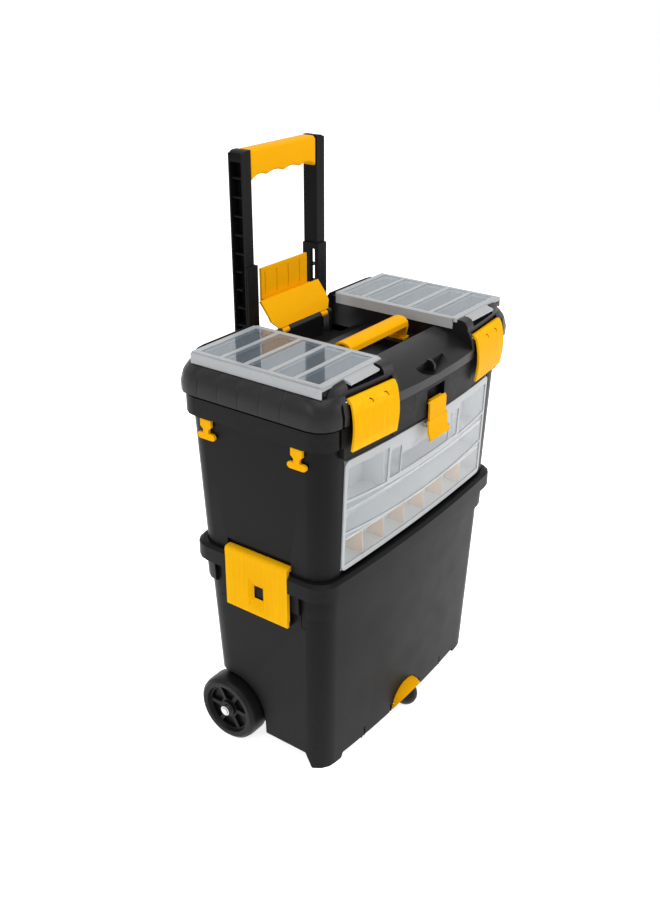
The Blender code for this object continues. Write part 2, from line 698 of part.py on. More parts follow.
def lower_bin():
    body = add_part("lower_bin", loft([
        (0, bin_ring(0, 0)),
        (BIN_BAND_BOTTOM, bin_ring(BIN_BAND_BOTTOM, 0)),
        (BIN_BAND_BOTTOM + BIN_BAND_EDGE, bin_ring(BIN_BAND_BOTTOM, BIN_BAND_STEP)),
        (BIN_LIP_BOTTOM - WELD, bin_ring(BIN_BAND_BOTTOM, BIN_BAND_STEP + WELD)),
        (BIN_LIP_BOTTOM + WELD, bin_ring(BIN_BAND_BOTTOM, BIN_LIP_STEP)),
        (BIN_RIM_TOP - BIN_RIM_ROUND, bin_ring(BIN_BAND_BOTTOM, BIN_LIP_STEP)),
        (BIN_RIM_TOP, bin_ring(BIN_BAND_BOTTOM, BIN_LIP_STEP - BIN_RIM_ROUND))]), BLACK)
    rear_inside = BIN_BASE_DEPTH / 2 - BIN_WALL
    pad_reach = PAD_HALF_WIDTH - HAIR
    fuse(body, "rail_pad", boxes(((-pad_reach, rear_inside, SLEEVE_BOTTOM),
                                  (pad_reach, PAD_Y + HAIR, BIN_LIP_BOTTOM))))
    cut(body, "rail_recess", boxes(((-PAD_HALF_WIDTH, PAD_Y, -OVERCUT),
                                    (PAD_HALF_WIDTH, FAR, BIN_RIM_TOP + OVERCUT))))
    foot_reach = BIN_BASE_WIDTH / 2 - FOOT_LENGTH
    slope = [(-foot_reach, BIN_SKIRT_BOTTOM), (-foot_reach - FOOT_FLARE, -OVERCUT),
             (foot_reach + FOOT_FLARE, -OVERCUT), (foot_reach, BIN_SKIRT_BOTTOM)]
    cut(body, "front_arch", extruded(slope, "Y", -FAR, FAR))
    foot_back = FOOT_DEPTH - BIN_BASE_DEPTH / 2
    flank = [(foot_back, BIN_UNDERSIDE), (foot_back - FOOT_FLARE, 0), (foot_back - FOOT_FLARE, -OVERCUT),
             (FAR, -OVERCUT), (FAR, BIN_UNDERSIDE)]
    cut(body, "side_arch", extruded(flank, "X", -FAR, FAR))
    skirt_back = BIN_SKIRT - BIN_BASE_DEPTH / 2
    cut(body, "underside", boxes(((-foot_reach, skirt_back, -OVERCUT),
                                  (foot_reach, foot_back + WELD, BIN_UNDERSIDE - FLOOR_STEP))))
    skid_front = -BIN_BASE_DEPTH / 2 - BIN_BOW * SKID_BOW
    skids = []
    slits = []
    for x in [side * offset for offset in SKID_OFFSETS for side in (-1, 1)]:
        skids.append(((x - SKID_WIDTH / 2, skid_front, BIN_SKIRT_BOTTOM - SKID_DROP),
                      (x + SKID_WIDTH / 2, skirt_back - HAIR, BIN_SKIRT_BOTTOM + 2 * WELD)))
        slits.append(((x - SKID_SLIT / 2, -FAR, -OVERCUT),
                      (x + SKID_SLIT / 2, skirt_back - WELD, BIN_UNDERSIDE - 2 * FLOOR_STEP)))
    fuse(body, "skids", boxes(*skids))
    cut(body, "skid_slits", boxes(*slits))
    cut(body, "wheel_wells", wheel_well(0))
    cut(body, "caster_well", caster_well(0))
    boolean(body, bin_cavity())
    bore = AXLE_RADIUS + TOUCH_GAP
    bore_length = AXLE_SEAT + OVERCUT
    cut(body, "axle_bores", rods(bore, "X", PIN_STEPS,
                                 ((WELL_WALL_X - AXLE_SEAT, WHEEL_Y, WHEEL_RADIUS), bore_length),
                                 ((-WELL_WALL_X - OVERCUT, WHEEL_Y, WHEEL_RADIUS), bore_length)))
    cut(body, "stem_bore", rods(CASTER_STEM_RADIUS + TOUCH_GAP, "Z", PIN_STEPS,
                                ((0, CASTER_Y, HOOD_BASE_Z),
                                 CASTER_WELL_TOP + CASTER_STEM_SEAT - HOOD_BASE_Z)))
    clamp_seats(body)
    screw_bores = [((x, PAD_Y - SCREW_LENGTH, z + SLEEVE_TIE_HEIGHT / 2), SCREW_LENGTH + OVERCUT)
                   for z in SLEEVE_TIE_BOTTOM for x in (-SCREW_OFFSET, SCREW_OFFSET)]
    cut(body, "screw_bores", rods(SCREW_RADIUS + TOUCH_GAP, "Y", PIN_STEPS, *screw_bores))
    return body


def clamp_seats(body):
    """Pockets for the side clamps in the rim, lugs for their pins, and the slots beside them."""
    half = CLAMP_WIDTH / 2 + SWING_GAP
    back = CLAMP_OUTER_X - CLAMP_BODY - SWING_GAP
    for side in (-1, 1):
        word = "left" if side < 0 else "right"
        pocket = sorted((side * back, side * (back + CLAMP_POCKET_REACH)))
        cut(body, f"clamp_pocket_{word}", boxes(((pocket[0], -half, BIN_BAND_BOTTOM - CLAMP_POCKET_DROP),
                                                  (pocket[1], half, BIN_RIM_TOP + OVERCUT))))
        root = BIN_WALL_WIDTH / 2 - BIN_WALL / 2
        lug = [(root, CLAMP_PIN_Z - CLAMP_KNUCKLE)]
        lug += arc((CLAMP_PIN_X, CLAMP_PIN_Z), CLAMP_KNUCKLE, -90, 90, 8)
        lug.append((root, CLAMP_PIN_Z + CLAMP_KNUCKLE))
        for place, y in enumerate((-CLAMP_WIDTH / 2, CLAMP_WIDTH / 2 - CLAMP_LUG_WIDTH)):
            fuse(body, f"clamp_lug_{word}_{place}", extruded([(side * x, z) for x, z in lug], "Y", y,
                                                             y + CLAMP_LUG_WIDTH))
        cut(body, f"clamp_pin_bore_{word}", rods(CLAMP_PIN_RADIUS + TOUCH_GAP, "Y", PIN_STEPS,
                                                 ((side * CLAMP_PIN_X, -CLAMP_WIDTH / 2 - OVERCUT,
                                                   CLAMP_PIN_Z), CLAMP_WIDTH + 2 * OVERCUT)))
        face = BIN_WALL_WIDTH / 2 + BIN_BAND_STEP
        slot_x = sorted((side * (face - SIDE_SLOT_DEPTH), side * (face + 2 * WELD)))
        top = BIN_LIP_BOTTOM
        slots = [((slot_x[0], y - SIDE_SLOT_WIDTH / 2, top - SIDE_SLOT_HEIGHT),
                  (slot_x[1], y + SIDE_SLOT_WIDTH / 2, top)) for y in (-SIDE_SLOT_OFFSET, SIDE_SLOT_OFFSET)]
        cut(body, f"side_slots_{word}", boxes(*slots))


def wheel_windows(half):
    """Wedge-shaped openings between the spokes, about the wheel's own axis."""
    mesh_data = bmesh.new()
    for index in range(WHEEL_WINDOWS):
        middle = 360 * index / WHEEL_WINDOWS
        outline = []
        for radius, turn in ((WHEEL_WINDOW_INNER, 1), (WHEEL_WINDOW_OUTER, -1)):
            spread = 180 / WHEEL_WINDOWS - math.degrees(math.asin(WHEEL_SPOKE / 2 / radius))
            outline += arc((0, 0), radius, middle - turn * spread, middle + turn * spread, 3)
        extruded(outline, "Z", -half, half, mesh_data)
    return mesh_data


def rear_wheels():
    half = WHEEL_WIDTH / 2
    tread = WHEEL_RADIUS
    rim = tread - WHEEL_RIM
    bore = AXLE_RADIUS + TOUCH_GAP
    web_out = half - WHEEL_WEB_INSET
    web_in = web_out - WHEEL_WEB
    hub = WHEEL_HUB_RADIUS
    profile = [(tread - WHEEL_SHOULDER[0], half),
               (tread - WHEEL_SHOULDER_MIDDLE[0], half - WHEEL_SHOULDER_MIDDLE[1]),
               (tread, half - WHEEL_SHOULDER[1]),
               (tread, -half + WHEEL_INNER_EDGE[1]),
               (tread - WHEEL_INNER_EDGE[0], -half),
               (rim, -half), (rim - WELD, web_in), (hub, web_in), (hub, -half), (bore, -half),
               (bore, half - WHEEL_HUB_INSET), (hub, half - WHEEL_HUB_INSET), (hub, web_out),
               (rim - 2 * WELD, web_out), (rim, half - WELD), (rim + WHEEL_RIM_EDGE, half)]
    for side in (-1, 1):
        word = "left" if side < 0 else "right"
        wheel = turned(f"rear_wheel_{word}", profile, WHEEL_BLACK, 40)
        windows = add_cutter(f"wheel_windows_{word}", wheel_windows(half))
        place = Vector((side * (WHEEL_OUTER_X - half), WHEEL_Y, WHEEL_RADIUS))
        for item in (wheel, windows):
            item.location = place
            item.rotation_euler = (0, side * math.pi / 2, 0)
        boolean(wheel, windows)
        smooth(wheel)


def wheel_axles():
    for side in (-1, 1):
        word = "left" if side < 0 else "right"
        length = AXLE_SEAT - TOUCH_GAP + SWING_GAP * 2 + WHEEL_WIDTH + AXLE_STICKOUT
        inner = WELL_WALL_X - AXLE_SEAT + TOUCH_GAP
        start = inner if side > 0 else -inner - length
        add_part(f"wheel_axle_{word}", rods(AXLE_RADIUS, "X", PIN_STEPS,
                                            ((start, WHEEL_Y, WHEEL_RADIUS), length)), STEEL)
        cap_in = WHEEL_OUTER_X - WHEEL_HUB_INSET + TOUCH_GAP
        end = inner + length
        cap_start = cap_in if side > 0 else -cap_in - PUSH_CAP_HEIGHT
        cap = add_part(f"push_cap_{word}", rods(PUSH_CAP_RADIUS, "X", ROUND_STEPS,
                                                ((cap_start, WHEEL_Y, WHEEL_RADIUS), PUSH_CAP_HEIGHT)), STEEL)
        reach = end + TOUCH_GAP - cap_in + OVERCUT
        bore_start = cap_in - OVERCUT if side > 0 else -cap_in + OVERCUT - reach
        cut(cap, f"push_cap_bore_{word}", rods(AXLE_RADIUS + TOUCH_GAP, "X", PIN_STEPS,
                                               ((bore_start, WHEEL_Y, WHEEL_RADIUS), reach)))


def caster():
    stem_hole = CASTER_STEM_RADIUS + TOUCH_GAP
    inside = HOOD_RADIUS - HOOD_WALL
    outer = arc((0, 0), HOOD_RADIUS, math.degrees(math.acos(stem_hole / HOOD_RADIUS)), 0, 8)
    inner = arc((0, 0), inside, 0, math.degrees(math.acos(stem_hole / inside)), 8)
    hood = turned("caster_hood", outer + inner, YELLOW, 32)
    hood.location = (0, CASTER_Y, HOOD_BASE_Z)
    bore = CASTER_AXLE_RADIUS + TOUCH_GAP
    ears = [((x, CASTER_AXLE_Y - CASTER_EAR_FRONT, CASTER_AXLE_Z - CASTER_EAR_FRONT),
             (x + CASTER_EAR, CASTER_AXLE_Y + CASTER_EAR_REAR,
              CASTER_AXLE_Z + CASTER_EAR_TOP)) for x in (-CASTER_EAR_X - CASTER_EAR, CASTER_EAR_X)]
    fuse(hood, "hood_ears", boxes(*ears))
    low, high = -OVERCUT, HOOD_BASE_Z + HOOD_RADIUS + OVERCUT
    rim = [(HOOD_RIM_FOOT_Y - low / HOOD_RIM_SLOPE, low), (HOOD_RIM_FOOT_Y - high / HOOD_RIM_SLOPE, high),
           (-FAR, high), (-FAR, low)]
    cut(hood, "hood_rim", extruded(rim, "X", -FAR, FAR))
    cut(hood, "hood_axle_bore", rods(bore, "X", PIN_STEPS, ((-FAR, CASTER_AXLE_Y, CASTER_AXLE_Z), 2 * FAR)))
    smooth(hood)
    half = CASTER_WHEEL_WIDTH / 2
    crown = [(CASTER_WHEEL_RADIUS * math.cos(math.radians(a)), half * math.sin(math.radians(a)))
             for a in range(CASTER_CROWN, -CASTER_CROWN - 1, -15)]
    profile = crown + [(bore, -half), (bore, half)]
    wheel = turned("caster_wheel", profile, WHEEL_BLACK)
    wheel.location = (0, CASTER_AXLE_Y, CASTER_AXLE_Z)
    wheel.rotation_euler = (0, math.pi / 2, 0)
    smooth(wheel)
    length = 2 * (CASTER_EAR_X + CASTER_EAR - HAIR)
    add_part("caster_axle", rods(CASTER_AXLE_RADIUS, "X", PIN_STEPS,
                                 ((-length / 2, CASTER_AXLE_Y, CASTER_AXLE_Z), length)), STEEL)
    stem_bottom = HOOD_BASE_Z + HOOD_RADIUS - HOOD_WALL
    stem_top = CASTER_WELL_TOP + CASTER_STEM_SEAT - TOUCH_GAP
    add_part("caster_stem", rods(CASTER_STEM_RADIUS, "Z", PIN_STEPS,
                                 ((0, CASTER_Y, stem_bottom), stem_top - stem_bottom)), STEEL)


def channel(side, inner_x, outer_x, front_y, rear_y, wall, low, high):
    """A C-section standing along Z, closed towards the middle of the box and open outwards."""
    outline = [(outer_x, front_y), (outer_x, front_y + wall), (inner_x + wall, front_y + wall),
               (inner_x + wall, rear_y - wall), (outer_x, rear_y - wall), (outer_x, rear_y),
               (inner_x, rear_y), (inner_x, front_y)]
    return extruded([(side * x, y) for x, y in outline], "Z", low, high)


def rail_frame():
    """The fixed sleeves on the back of the bin, tied together by two screwed plates."""
    frame = add_part("rail_frame", channel(-1, SLEEVE_INNER_X, SLEEVE_OUTER_X, SLEEVE_FRONT_Y, SLEEVE_REAR_Y,
                                           SLEEVE_WALL, SLEEVE_BOTTOM, SLEEVE_TOP), BLACK)
    fuse(frame, "right_sleeve", channel(1, SLEEVE_INNER_X, SLEEVE_OUTER_X, SLEEVE_FRONT_Y, SLEEVE_REAR_Y,
                                        SLEEVE_WALL, SLEEVE_BOTTOM, SLEEVE_TOP))
    reach = SLEEVE_INNER_X + SLEEVE_WALL * 0.5
    ties = [((-reach, SLEEVE_FRONT_Y, z), (reach, SLEEVE_FRONT_Y + SLEEVE_TIE,
                                           z + SLEEVE_TIE_HEIGHT)) for z in SLEEVE_TIE_BOTTOM]
    fuse(frame, "sleeve_ties", boxes(*ties))
    window_y = RAIL_FRONT_Y + RAIL_WALL
    windows = [((x, window_y, RAIL_WINDOW_BOTTOM), (x + OVERCUT, window_y + RAIL_WINDOW, RAIL_WINDOW_TOP))
               for x in (-SLEEVE_INNER_X - OVERCUT / 2, SLEEVE_INNER_X - OVERCUT / 2)]
    cut(frame, "sleeve_windows", boxes(*windows))
    cut(frame, "sleeve_backs", boxes(((-FAR, SLEEVE_REAR_Y - SLEEVE_WALL - HAIR, SLEEVE_BACK_TOP),
                                      (FAR, FAR, SLEEVE_TOP + OVERCUT))))
    holes = [((x, SLEEVE_FRONT_Y - OVERCUT, z + SLEEVE_TIE_HEIGHT / 2), SLEEVE_TIE + 2 * OVERCUT)
             for z in SLEEVE_TIE_BOTTOM for x in (-SCREW_OFFSET, SCREW_OFFSET)]
    cut(frame, "tie_holes", rods(SCREW_RADIUS + TOUCH_GAP, "Y", PIN_STEPS, *holes))


def frame_screws():
    for level, z in zip(("lower", "upper"), SLEEVE_TIE_BOTTOM):
        for side in (-1, 1):
            word = "left" if side < 0 else "right"
            middle = (side * SCREW_OFFSET, z + SLEEVE_TIE_HEIGHT / 2)
            head_y = SLEEVE_FRONT_Y + SLEEVE_TIE + TOUCH_GAP
            tip_y = PAD_Y - SCREW_LENGTH + TOUCH_GAP
            screw = add_part(f"frame_screw_{level}_{word}", rods(SCREW_RADIUS, "Y", PIN_STEPS,
                             ((middle[0], tip_y, middle[1]), head_y + SCREW_HEAD * 0.5 - tip_y)), STEEL)
            fuse(screw, f"screw_head_{level}_{word}", rods(SCREW_HEAD_RADIUS, "Y", PIN_STEPS,
                                                           ((middle[0], head_y, middle[1]), SCREW_HEAD)))


def pull_handle():
    """Two ribbed C-rails with rounded top corners, joined by a core bar that the grip sits on."""
    core_top = RAIL_TOP - (GRIP_HEIGHT - HANDLE_CORE_HEIGHT) / 2
    core_low = core_top - HANDLE_CORE_HEIGHT
    middle_y = (RAIL_FRONT_Y + RAIL_REAR_Y) / 2
    inner = RAIL_INNER_X + RAIL_WALL * 0.5
    frame = add_part("pull_handle_frame", boxes(((-inner, middle_y - HANDLE_CORE_DEPTH / 2, core_low),
                                                 (inner, middle_y + HANDLE_CORE_DEPTH / 2, core_top))), BLACK)
    for side in (-1, 1):
        word = "left" if side < 0 else "right"
        fuse(frame, f"rail_{word}", channel(side, RAIL_INNER_X, RAIL_OUTER_X, RAIL_FRONT_Y, RAIL_REAR_Y,
                                            RAIL_WALL, RAIL_BOTTOM, RAIL_TOP - RAIL_CAP_LAP))
        corner_low = RAIL_TOP - RAIL_CAP_HEIGHT
        bend = (RAIL_OUTER_X - RAIL_CORNER, RAIL_TOP - RAIL_CORNER)
        corner = [(side * RAIL_INNER_X, corner_low), (side * RAIL_INNER_X, RAIL_TOP)]
        corner += [(side * x, z) for x, z in arc(bend, RAIL_CORNER, 90, 0, 4)]
        corner.append((side * RAIL_OUTER_X, corner_low))
        fuse(frame, f"rail_cap_{word}", extruded(corner, "Y", RAIL_FRONT_Y, RAIL_REAR_Y))
        rib_x = sorted((side * (RAIL_INNER_X + RAIL_WALL * 0.5), side * (RAIL_OUTER_X - RAIL_RIB_INSET)))
        first = RAIL_TOP - RAIL_FIRST_RIB
        ribs = []
        for index in range(RAIL_RIB_COUNT):
            z = first - index * RAIL_RIB_PITCH
            ribs.append(((rib_x[0], RAIL_FRONT_Y + RAIL_WALL * 0.5, z),
                         (rib_x[1], RAIL_REAR_Y - RAIL_WALL * 0.5, z + RAIL_RIB)))
        fuse(frame, f"rail_ribs_{word}", boxes(*ribs))
        window_x = sorted((side * (RAIL_INNER_X - OVERCUT / 2), side * (RAIL_INNER_X + RAIL_WALL + OVERCUT)))
        window_y = RAIL_FRONT_Y + RAIL_WALL + HAIR / 2
        cut(frame, f"rail_window_{word}", boxes(((window_x[0], window_y, RAIL_WINDOW_BOTTOM),
                                                 (window_x[1], window_y + RAIL_WINDOW, RAIL_WINDOW_TOP))))


def pull_grip():
    """A rounded sleeve on the core bar, with finger waves along its underside."""
    half = RAIL_INNER_X - TOUCH_GAP
    low = RAIL_TOP - GRIP_HEIGHT
    steps = GRIP_WAVES * GRIP_WAVE_STEPS
    outline = [(half, RAIL_TOP - GRIP_ROUND), (half - GRIP_ROUND, RAIL_TOP), (-half + GRIP_ROUND, RAIL_TOP),
               (-half, RAIL_TOP - GRIP_ROUND)]
    outline.append((-half, low - GRIP_END_DROP))
    for index in range(1, steps):
        x = half * (2 * index / steps - 1)
        ends = GRIP_END_DROP * (abs(x) / half) ** GRIP_WAVE_STEPS
        outline.append((x, low + GRIP_WAVE * abs(math.sin(math.pi * GRIP_WAVES * index / steps)) - ends))
    outline.append((half, low - GRIP_END_DROP))
    middle_y = (RAIL_FRONT_Y + RAIL_REAR_Y) / 2
    grip = add_part("pull_grip", extruded(outline, "Y", middle_y - GRIP_DEPTH / 2,
                                          middle_y + GRIP_DEPTH / 2), YELLOW)
    bevel = grip.modifiers.new("soft edges", "BEVEL")
    bevel.width = GRIP_ROUND
    bevel.segments = 2
    bevel.limit_method = "ANGLE"
    bevel.angle_limit = math.radians(60)
    core_top = RAIL_TOP - (GRIP_HEIGHT - HANDLE_CORE_HEIGHT) / 2 + TOUCH_GAP
    core_low = core_top - HANDLE_CORE_HEIGHT - 2 * TOUCH_GAP
    cut(grip, "grip_bore", boxes(((-FAR, middle_y - HANDLE_CORE_DEPTH / 2 - TOUCH_GAP, core_low),
                                  (FAR, middle_y + HANDLE_CORE_DEPTH / 2 + TOUCH_GAP, core_top))))


def side_clamps():
    """Spring plates on the bin whose hooked top edge reaches over the rim into the upper box."""
    half = CLAMP_WIDTH / 2
    back = CLAMP_OUTER_X - CLAMP_PLATE
    hook_tip = tub_size(CLAMP_TOP)[0] / 2 - CLAMP_HOOK_REACH
    body = CLAMP_OUTER_X - CLAMP_BODY
    outline = [(CLAMP_OUTER_X, CLAMP_BOTTOM)]
    outline += arc((CLAMP_OUTER_X - CLAMP_ROUND, CLAMP_TOP - CLAMP_ROUND), CLAMP_ROUND, 0, 90, 4)
    outline += [(hook_tip, CLAMP_TOP), (hook_tip, CLAMP_TOP - CLAMP_HOOK), (body, CLAMP_TOP - CLAMP_HOOK),
                (body, CLAMP_BODY_Z), (back, CLAMP_BODY_Z - CLAMP_BODY_SLOPE), (back, CLAMP_BOTTOM)]
    for side in (-1, 1):
        word = "left" if side < 0 else "right"
        clamp = add_part(f"side_clamp_{word}", extruded([(side * x, z) for x, z in outline], "Y", -half,
                                                        half), YELLOW, (side * CLAMP_PIN_X, 0, CLAMP_PIN_Z))
        knuckle_y = half - CLAMP_LUG_WIDTH - SWING_GAP
        arm_x = sorted((side * CLAMP_PIN_X, side * (back + WELD)))
        knuckle = rods(CLAMP_KNUCKLE, "Y", PIN_STEPS, ((side * CLAMP_PIN_X, -knuckle_y, CLAMP_PIN_Z),
                                                       2 * knuckle_y))
        fuse(clamp, f"clamp_knuckle_{word}", knuckle)
        fuse(clamp, f"clamp_arm_{word}", boxes(((arm_x[0], -knuckle_y, CLAMP_PIN_Z - CLAMP_ARM),
                                                 (arm_x[1], knuckle_y, CLAMP_PIN_Z + CLAMP_ARM))))
        bore = CLAMP_PIN_RADIUS + TOUCH_GAP
        cut(clamp, f"clamp_bore_{word}", rods(bore, "Y", PIN_STEPS,
                                              ((side * CLAMP_PIN_X, -FAR, CLAMP_PIN_Z), 2 * FAR)))
        funnel = bmesh.new()
        for x, size in ((CLAMP_OUTER_X + HAIR / 2, CLAMP_FUNNEL), (body - HAIR / 2, CLAMP_HOLE)):
            for y, z in ((-1, -1), (-1, 1), (1, 1), (1, -1)):
                funnel.verts.new((side * x, y * size[0], CLAMP_FUNNEL_Z + z * size[1]))
        bmesh.ops.convex_hull(funnel, input=funnel.verts)
        cut(clamp, f"clamp_funnel_{word}", funnel)
        length = CLAMP_WIDTH - 2 * CLAMP_PIN_INSET
        add_part(f"clamp_pin_{word}", rods(CLAMP_PIN_RADIUS, "Y", PIN_STEPS,
                                           ((side * CLAMP_PIN_X, -length / 2, CLAMP_PIN_Z), length)), STEEL)


def tub_cavity():
    floor = TUB_BASE_Z + TUB_WALL
    open_ring = tub_ring(TUB_BAND_BOTTOM, TUB_BAND_STEP - TUB_RIM_WALL, BAND_BOW)
    cavity = add_cutter("tub_cavity", loft([
        (floor, tub_ring(floor, -TUB_WALL)),
        (TUB_BAND_BOTTOM, tub_ring(TUB_BAND_BOTTOM, -TUB_WALL)),
        (TUB_BAND_BOTTOM + TUB_RIM_WALL, open_ring),
        (TUB_RIM_TOP + OVERCUT, open_ring)]))
    cut(cavity, "niche_back", niche(TUB_WALL))
    cut(cavity, "clamp_groove_backs", clamp_grooves(TUB_WALL))
    cut(cavity, "clip_slot_back", clip_slot(TUB_WALL))
    for side in (-1, 1):
        cut(cavity, f"latch_pocket_back_{side}", latch_pocket(side, TUB_WALL, TUB_BAND_BOTTOM - APRON_DROP,
                                                              TUB_POCKET_Y))
    return cavity


def niche(outset):
    low = (-NICHE_HALF_WIDTH - outset, -FAR, NICHE_BOTTOM - outset)
    high = (NICHE_HALF_WIDTH + outset, NICHE_BACK_Y + outset, NICHE_TOP + outset)
    return boxes((low, high))


def clamp_grooves(outset):
    """Grooves in the tub's sides that the clamp hooks reach into, open downwards."""
    depth = CLAMP_HOOK_REACH + SWING_GAP + outset
    half = CLAMP_WIDTH / 2 + SWING_GAP + outset
    top = CLAMP_TOP + CLAMP_GROOVE_RISE + outset
    wall = tub_size(CLAMP_TOP)[0] / 2
    spans = [sorted((side * (wall - depth), side * (wall + OVERCUT))) for side in (-1, 1)]
    return boxes(*[((span[0], -half, TUB_BASE_Z - OVERCUT), (span[1], half, top)) for span in spans])


def clip_slot(outset):
    half = CLIP_WIDTH / 2 + SWING_GAP + outset
    front = TUB_WALL_DEPTH / 2 + TUB_BAND_STEP + BAND_BOW
    return boxes(((-half, -front - OVERCUT, CLIP_TOP - CLIP_SLOT_DROP - outset),
                  (half, -front + CLIP_SLOT_DEPTH + outset, CLIP_SLOT_TOP + outset)))


def yawed(shape, side):
    """Turns a latch shape a little about Z, so that it follows the bow of the lid's front."""
    turn = Matrix.Rotation(math.radians(side * LATCH_YAW), 3, "Z")
    bmesh.ops.rotate(shape, cent=(side * LATCH_CENTRE_X, LATCH_PIVOT_Y, 0), matrix=turn, verts=shape.verts)
    return shape


def latch_pocket(side, outset, low, back):
    """The recess behind a latch, shared by the lid and the rim of the tub."""
    span = sorted((side * (LATCH_INNER_X - SWING_GAP - outset), side * (LATCH_OUTER_X + SWING_GAP + outset)))
    return yawed(boxes(((span[0], -FAR, low), (span[1], back + outset, LATCH_POCKET_TOP + outset))), side)


def front_curve(depth, bow, reach, half_length):
    """Points along a bowed front edge between two ends, left to right."""
    points = []
    for index in range(BOW_STEPS + 1):
        x = half_length * (2 * index / BOW_STEPS - 1)
        points.append((x, -depth - bow * (1 - (x / reach) ** 2)))
    return points


def hinge_spans(radius, owner):
    """Knuckles of the lid hinge: the tub has the inner one of each pair and the lid the outer one."""
    shift = 0 if owner == "tub" else LID_HINGE_LENGTH + SWING_GAP
    spans = []
    for side in (-1, 1):
        start = LID_HINGE_START + shift
        low = start if side > 0 else -start - LID_HINGE_LENGTH
        spans.append(((low, LID_HINGE_Y, LID_HINGE_Z), LID_HINGE_LENGTH))
    return rods(radius, "X", PIN_STEPS, *spans)


def hinge_arms(owner, top, bottom, root_y):
    shift = 0 if owner == "tub" else LID_HINGE_LENGTH + SWING_GAP
    pairs = []
    for side in (-1, 1):
        start = LID_HINGE_START + shift
        span = sorted((side * start, side * (start + LID_HINGE_LENGTH)))
        pairs.append(((span[0], root_y, bottom), (span[1], LID_HINGE_Y, top)))
    return boxes(*pairs)


def upper_tub():
    band_ring = tub_ring(TUB_BAND_BOTTOM, TUB_BAND_STEP, BAND_BOW)
    body = add_part("upper_tub", loft([
        (TUB_BASE_Z, tub_ring(TUB_BASE_Z, 0)),
        (TUB_BAND_BOTTOM, tub_ring(TUB_BAND_BOTTOM, 0)),
        (TUB_BAND_BOTTOM + TUB_BAND_EDGE, band_ring),
        (TUB_RIM_TOP, band_ring)]), BLACK)
    front = TUB_WALL_DEPTH / 2 + TUB_BAND_STEP
    reach = TUB_WALL_WIDTH / 2 + TUB_BAND_STEP - CORNER_RADIUS
    curve = front_curve(front, BAND_BOW, reach, APRON_HALF_LENGTH)
    back = [(x, y + TUB_BAND_STEP + TUB_WALL) for x, y in reversed(curve)]
    fuse(body, "apron", extruded(curve + back, "Z", TUB_BAND_BOTTOM - APRON_DROP,
                                 TUB_RIM_TOP - APRON_TOP_GAP))
    cut(body, "tub_rail_recess", boxes(((-PAD_HALF_WIDTH, PAD_Y, 0),
                                        (PAD_HALF_WIDTH, FAR, TUB_RIM_TOP + OVERCUT))))
    cut(body, "niche", niche(0))
    strip_back = TUB_BASE_DEPTH / 2 - TUB_WALL / 2
    cut(body, "cover_swing_room", boxes(((-NICHE_HALF_WIDTH, -FAR, TUB_BASE_Z + TUB_WALL),
                                         (NICHE_HALF_WIDTH, -strip_back, NICHE_BOTTOM + WELD))))
    cut(body, "clamp_grooves", clamp_grooves(0))
    cut(body, "clip_slot", clip_slot(0))
    for side in (-1, 1):
        cut(body, f"tub_latch_pocket_{side}", latch_pocket(side, 0, TUB_BAND_BOTTOM - APRON_DROP - WELD,
                                                           TUB_POCKET_Y))
    boolean(body, tub_cavity())
    lid_rear = LID_DEPTH / 2
    cut(body, "lid_knuckle_room", hinge_spans(LID_HINGE_RADIUS + SWING_GAP, "lid"))
    fuse(body, "tub_knuckles", hinge_spans(LID_HINGE_RADIUS, "tub"))
    fuse(body, "tub_hinge_arms", hinge_arms("tub", LID_HINGE_Z - HAIR, LID_HINGE_Z - LID_HINGE_RADIUS,
                                            lid_rear - HINGE_ROOT))
    cut(body, "tub_hinge_bores", hinge_bores())
    corner_grooves(body, TUB_BAND_BOTTOM + WELD, TUB_RIM_TOP + OVERCUT, front, reach, "tub")
    return body


def corner_grooves(body, low, high, front, reach, word):
    """The upright grooves between the rounded corners and the latches."""
    y = -front - BAND_BOW * (1 - (GROOVE_X / reach) ** 2)
    pairs = []
    for x in (-GROOVE_X, GROOVE_X):
        pairs.append(((x - GROOVE_WIDTH / 2, y - OVERCUT, low),
                      (x + GROOVE_WIDTH / 2, y + GROOVE_DEPTH, high)))
    cut(body, f"corner_grooves_{word}", boxes(*pairs))


def hinge_bores():
    length = 2 * LID_HINGE_LENGTH + SWING_GAP + 2 * OVERCUT
    start = LID_HINGE_START - OVERCUT
    return rods(LID_HINGE_PIN + TOUCH_GAP, "X", PIN_STEPS, ((start, LID_HINGE_Y, LID_HINGE_Z), length),
                ((-start - length, LID_HINGE_Y, LID_HINGE_Z), length))


def lid_hinge_pins():
    length = 2 * LID_HINGE_LENGTH + SWING_GAP
    for side in (-1, 1):
        word = "left" if side < 0 else "right"
        start = LID_HINGE_START if side > 0 else -LID_HINGE_START - length
        add_part(f"lid_hinge_pin_{word}", rods(LID_HINGE_PIN, "X", PIN_STEPS,
                                               ((start, LID_HINGE_Y, LID_HINGE_Z), length)), STEEL)


